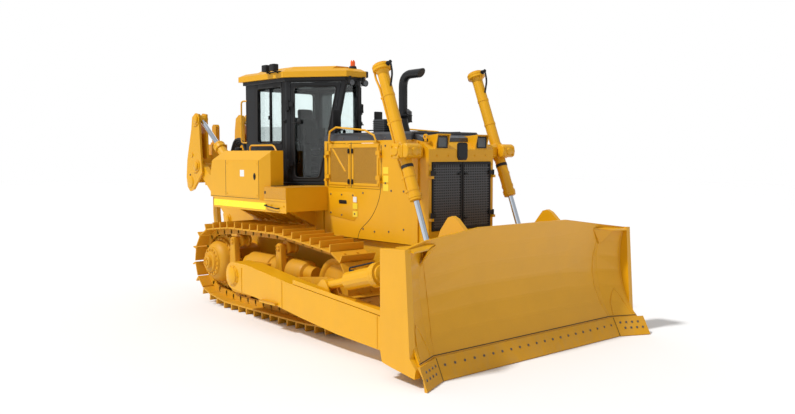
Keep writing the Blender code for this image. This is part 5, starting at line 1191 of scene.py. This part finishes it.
ring = [(tilt_a + along * 1.086 + (up * math.cos(a) + Vector((0, 1, 0)) * math.sin(a)) * 0.132, along)
        for a in (math.tau * k / 10 for k in range(10))]
bolts("tilt_head_bolts", ring, 0.012, 0.012, "blade", bare)
tube = gather(hose(eased([tilt_a + along * 0.50 + up * 0.11, tilt_a + along * 0.50 + up * 0.155,
                          tilt_a + along * 0.98 + up * 0.155, tilt_a + along * 1.02 + up * 0.13], 0.03), 0.011, 8),
              block(tilt_a.x + 0.48, tilt_a.x + 0.56, -1.635, -1.565, 0.985, 1.03, 0.006))
part_from("tilt_oil_tube", tube, "blade", black, 50)

# ------------------------------------------------------------------ blade lift cylinders
# Long trunnion-mounted cylinders: bolted cap flange at the top, oil tube clamped along the
# barrel, gland ring at the foot, and the saddles that hold the trunnions to the guard.
TRUNNION = Vector((2.43, 0, 2.476))
lift_dir = Vector((0.3661, 0, -0.9306))
lift_up = Vector((0.9306, 0, 0.3661))
for side, which in ((-1, "right"), (1, "left")):
    body = "lift_barrel_" + which
    hub = TRUNNION + Vector((0, side * 0.877, 0))
    top, foot = hub - lift_dir * 1.20, hub + lift_dir * 0.655
    cap = lathe(top, foot, [(0, 0), (0, 0.062), (0.010, 0.072), (0.020, 0.072), (0.020, 0.118), (0.026, 0.124),
                            (0.048, 0.124), (0.051, 0.119), (0.055, 0.124), (0.082, 0.124), (0.088, 0.118),
                            (0.088, 0.092), (0.115, 0.082), (0.13, 0.0755), (0.13, 0.06), (0.02, 0.0)], 36)
    part_from("cap_flange_" + which, cap, body, yellow, 40)
    ring = []
    for k in range(10):
        a = math.tau * k / 10
        arm = (lift_up * math.cos(a) + Vector((0, 1, 0)) * math.sin(a)) * 0.103
        ring.append((top + lift_dir * 0.021 + arm, -lift_dir))
    bolts("cap_flange_bolts_" + which, ring, 0.013, 0.014, body, yellow)
    gland = lathe(top + lift_dir * 1.775, foot + lift_dir * 0.03,
                  [(0, 0.0755), (0.004, 0.086), (0.045, 0.086), (0.050, 0.081), (0.075, 0.081), (0.082, 0.074),
                   (0.088, 0.055), (0.088, 0.037)], 32)
    part_from("gland_ring_" + which, gland, body, yellow, 40)
    lean = 0.35                  # radians round the barrel, from its rear side
    away = -lift_up * math.cos(lean) + Vector((0, side, 0)) * math.sin(lean)
    line = hose(eased([top + lift_dir * 0.065 + away * 0.115, top + lift_dir * 0.14 + away * 0.125,
                       top + lift_dir * 0.30 + away * 0.098, top + lift_dir * 1.70 + away * 0.098,
                       top + lift_dir * 1.745 + away * 0.070], 0.05), 0.0145, 10)
    bands = []
    for d in (0.42, 0.78, 1.52, 1.70):
        point = top + lift_dir * d
        bands.append(lathe(point, point + lift_dir * 0.03,
                           [(0, 0.074), (0, 0.080), (0.03, 0.080), (0.03, 0.074)], 28))
        bands.append(hose([point + lift_dir * 0.015 + away * 0.075, point + lift_dir * 0.015 + away * 0.118],
                          0.017, 8))
    part_from("barrel_oil_tube_" + which, gather(line), body, yellow, 50)
    part_from("barrel_clamps_" + which, gather(*bands), body, yellow, 40)
    ports = gather(lathe(top + lift_dir * 0.05 + lift_up * 0.11, top + lift_dir * 0.05 + lift_up * 0.19,
                         [(0, 0), (0, 0.030), (0.03, 0.030), (0.03, 0.022), (0.08, 0.022), (0.08, 0)], 12),
                   hose(eased([top + lift_dir * 0.05 + lift_up * 0.15, top + lift_dir * 0.05 + lift_up * 0.185,
                               top + lift_dir * 0.20 + lift_up * 0.165, top + lift_dir * 0.34 + lift_up * 0.075],
                              0.05), 0.013, 8))
    part_from("cap_port_" + which, ports, body, black, 50)
    collar = lathe(hub - lift_dir * 0.10, hub + lift_dir * 0.12,
                   [(0, 0.075), (0.0, 0.083), (0.03, 0.089), (0.19, 0.089), (0.22, 0.083), (0.22, 0.075)], 32)
    part_from("trunnion_collar_" + which, collar, body, yellow, 40)
    band = lathe(hub + lift_dir * 0.190, hub + lift_dir * 0.230, [(0, 0.074), (0, 0.079), (0.04, 0.079),
                                                                (0.04, 0.074)], 28)
    part_from("wiper_band_" + which, band, body, rubber, 40)

    octagon = [(0.055, 0.095), (0.095, 0.055), (0.095, -0.055), (0.055, -0.095)]
    octagon += [(-x, z) for x, z in octagon[::-1]]
    saddle = []
    for near, far in ((0.6255, 0.775), (0.979, 1.017)):
        saddle.append(plate([(TRUNNION.x + x, TRUNNION.z + z) for x, z in octagon], "y",
                            *sorted((side * near, side * far)), 0.008, 2))
    strap = [(0.105, -0.075), (0.165, -0.085), (0.205, -0.065), (0.22, 0.0), (0.205, 0.07), (0.16, 0.10), (0.10, 0.09)]
    saddle.append(plate([(TRUNNION.x + x, TRUNNION.z + z) for x, z in strap], "y",
                        *sorted((side * 0.762, side * 1.000)), 0.014, 3))
    saddle.append(plate([(TRUNNION.x + x, TRUNNION.z + z) for x, z in
                         ((0.04, 0.06), (0.12, 0.085), (0.12, -0.085), (0.04, -0.06))], "y",
                        *sorted((side * 0.979, side * 1.010)), 0.004))
    saddle.append(lathe((TRUNNION.x, side * 1.010, TRUNNION.z), (TRUNNION.x, side * 1.030, TRUNNION.z),
                        [(0, 0), (0, 0.058), (0.012, 0.058), (0.020, 0.050), (0.020, 0)], 28))
    saddle.append(lathe((2.640, side * 0.877, TRUNNION.z), (2.662, side * 0.877, TRUNNION.z),
                        [(0, 0), (0, 0.052), (0.015, 0.050), (0.022, 0.040), (0.022, 0)], 24))
    part_from("trunnion_saddle_" + which, gather(*saddle), "tractor", yellow, 40)
    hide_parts("lift_yoke_" + which)
    heads = [((2.43 + x, side * 1.017, 2.476 + z), (0, side, 0)) for x, z in
             ((0.065, 0.06), (0.065, -0.06), (-0.065, 0.06), (-0.065, -0.06))]
    heads += [((2.640, side * y, 2.476 + z), (1, 0, 0)) for y in (0.795, 0.960) for z in (-0.05, 0.05)]
    bolts("saddle_bolts_" + which, heads, 0.014, 0.014, "tractor", yellow)

# ------------------------------------------------------------------ rear ripper
# Bright rods in the pitch cylinders, headed pins with keeper plates through every pivot, a
# bolted tooth cap, and the hose bundle that crosses from the tractor to the towers.
pitch_top = Vector((-3.70, 0, 3.08))
pitch_dir = Vector((1.22, 0, -0.92)).normalized()
pitch_long = math.hypot(1.22, 0.92)
for side, which in ((-1, "right"), (1, "left")):
    head = pitch_top + Vector((0, side * 0.46, 0))
    base = head + pitch_dir * pitch_long
    bright = lathe(head + pitch_dir * 0.075, base, [(0, 0), (0, 0.0415), (pitch_long - 0.80, 0.0415),
                                                   (pitch_long - 0.80, 0)], 28)
    part_from("pitch_rod_" + which, bright, "pitch_cylinder_" + which, chrome, 40)
    start = head + pitch_dir * (pitch_long - 0.725)
    gland = lathe(start, base, [(0, 0.042), (0, 0.100), (0.012, 0.108), (0.045, 0.108), (0.050, 0.100),
                                (0.055, 0.108), (0.115, 0.108), (0.125, 0.088)], 32)
    part_from("pitch_gland_" + which, gland, "pitch_cylinder_" + which, yellow, 40)
    pins = []
    for x, z, radius in ((-3.70, 3.08, 0.075), (-3.72, 2.22, 0.075)):
        pins.append(lathe((x, side * 0.555, z), (x, side * 0.60, z),
                          [(0, 0), (0, radius + 0.035), (0.012, radius + 0.035), (0.014, radius), (0.036, radius),
                           (0.045, radius - 0.012), (0.045, 0)], 28))
        pins.append(block(x - 0.11, x + 0.02, *sorted((side * 0.556, side * 0.574)), z - 0.125, z - 0.095, 0.004))
    part_from("tower_pins_" + which, gather(*pins), "ripper_beam", yellow, 40)
    heads = [((-3.75, side * 0.556, 2.98), (0, side, 0)), ((-3.98, side * 0.556, 2.05), (0, side, 0)),
             ((-3.90, side * 0.556, 1.95), (0, side, 0)), ((-4.02, side * 0.556, 1.90), (0, side, 0))]
    bolts("tower_bolts_" + which, heads, 0.014, 0.012, "ripper_beam", bare)
    boss = gather(lathe((-3.98, side * 0.554, 1.92), (-3.98, side * 0.575, 1.92),
                        [(0, 0), (0, 0.115), (0.014, 0.110), (0.021, 0.085), (0.021, 0)], 32),
                  lathe((-3.90, side * 0.554, 2.42), (-3.90, side * 0.57, 2.42),
                        [(0, 0), (0, 0.04), (0.016, 0.038), (0.016, 0)], 20))
    part_from("tower_bosses_" + which, boss, "ripper_beam", yellow, 40)
    knuckles = []
    for x, z, radius in ((-2.50, 1.30, 0.07), (-2.48, 2.16, 0.06)):
        knuckles.append(lathe((x, side * 0.60, z), (x, side * 0.64, z),
                              [(0, 0), (0, radius + 0.03), (0.012, radius + 0.03), (0.014, radius), (0.035, radius),
                               (0.04, radius - 0.01), (0.04, 0)], 28))
    part_from("bracket_pins_" + which, gather(*knuckles), "tractor", yellow, 40)
    tooth = plate([(-3.60, 0.775), (-3.575, 0.765), (-3.74, 0.750), (-3.93, 0.826), (-4.05, 1.015), (-4.06, 1.06),
                   (-3.905, 1.06), (-3.895, 1.05), (-3.79, 0.93)], "y", side * 0.0405, side * 0.052, 0.002)
    part_from("tooth_cap_" + which, tooth, "ripper_beam", bare, 0)
# supply hoses between the tractor's valve block and the ripper bracket
loops = []
for k in range(4):
    y = -0.52 - 0.035 * k
    loops.append(hose(eased([(-1.80, y, 2.36 + 0.02 * k), (-1.98, y, 2.60 + 0.035 * k), (-2.22, y + 0.01, 2.62 + 0.02 * k),
                             (-2.38, y + 0.02, 2.42), (-2.42, y + 0.02, 2.24)], 0.10, 5), 0.019, 8))
part_from("ripper_hoses", gather(*loops), "tractor", rubber, 60)
block_body = gather(block(-1.86, -1.70, -0.68, -0.45, 2.26, 2.42, 0.01, 2), block(-2.46, -2.36, -0.66, -0.48, 2.20, 2.262,
                                                                                  0.006))
part_from("ripper_valve_block", block_body, "tractor", black, 40)
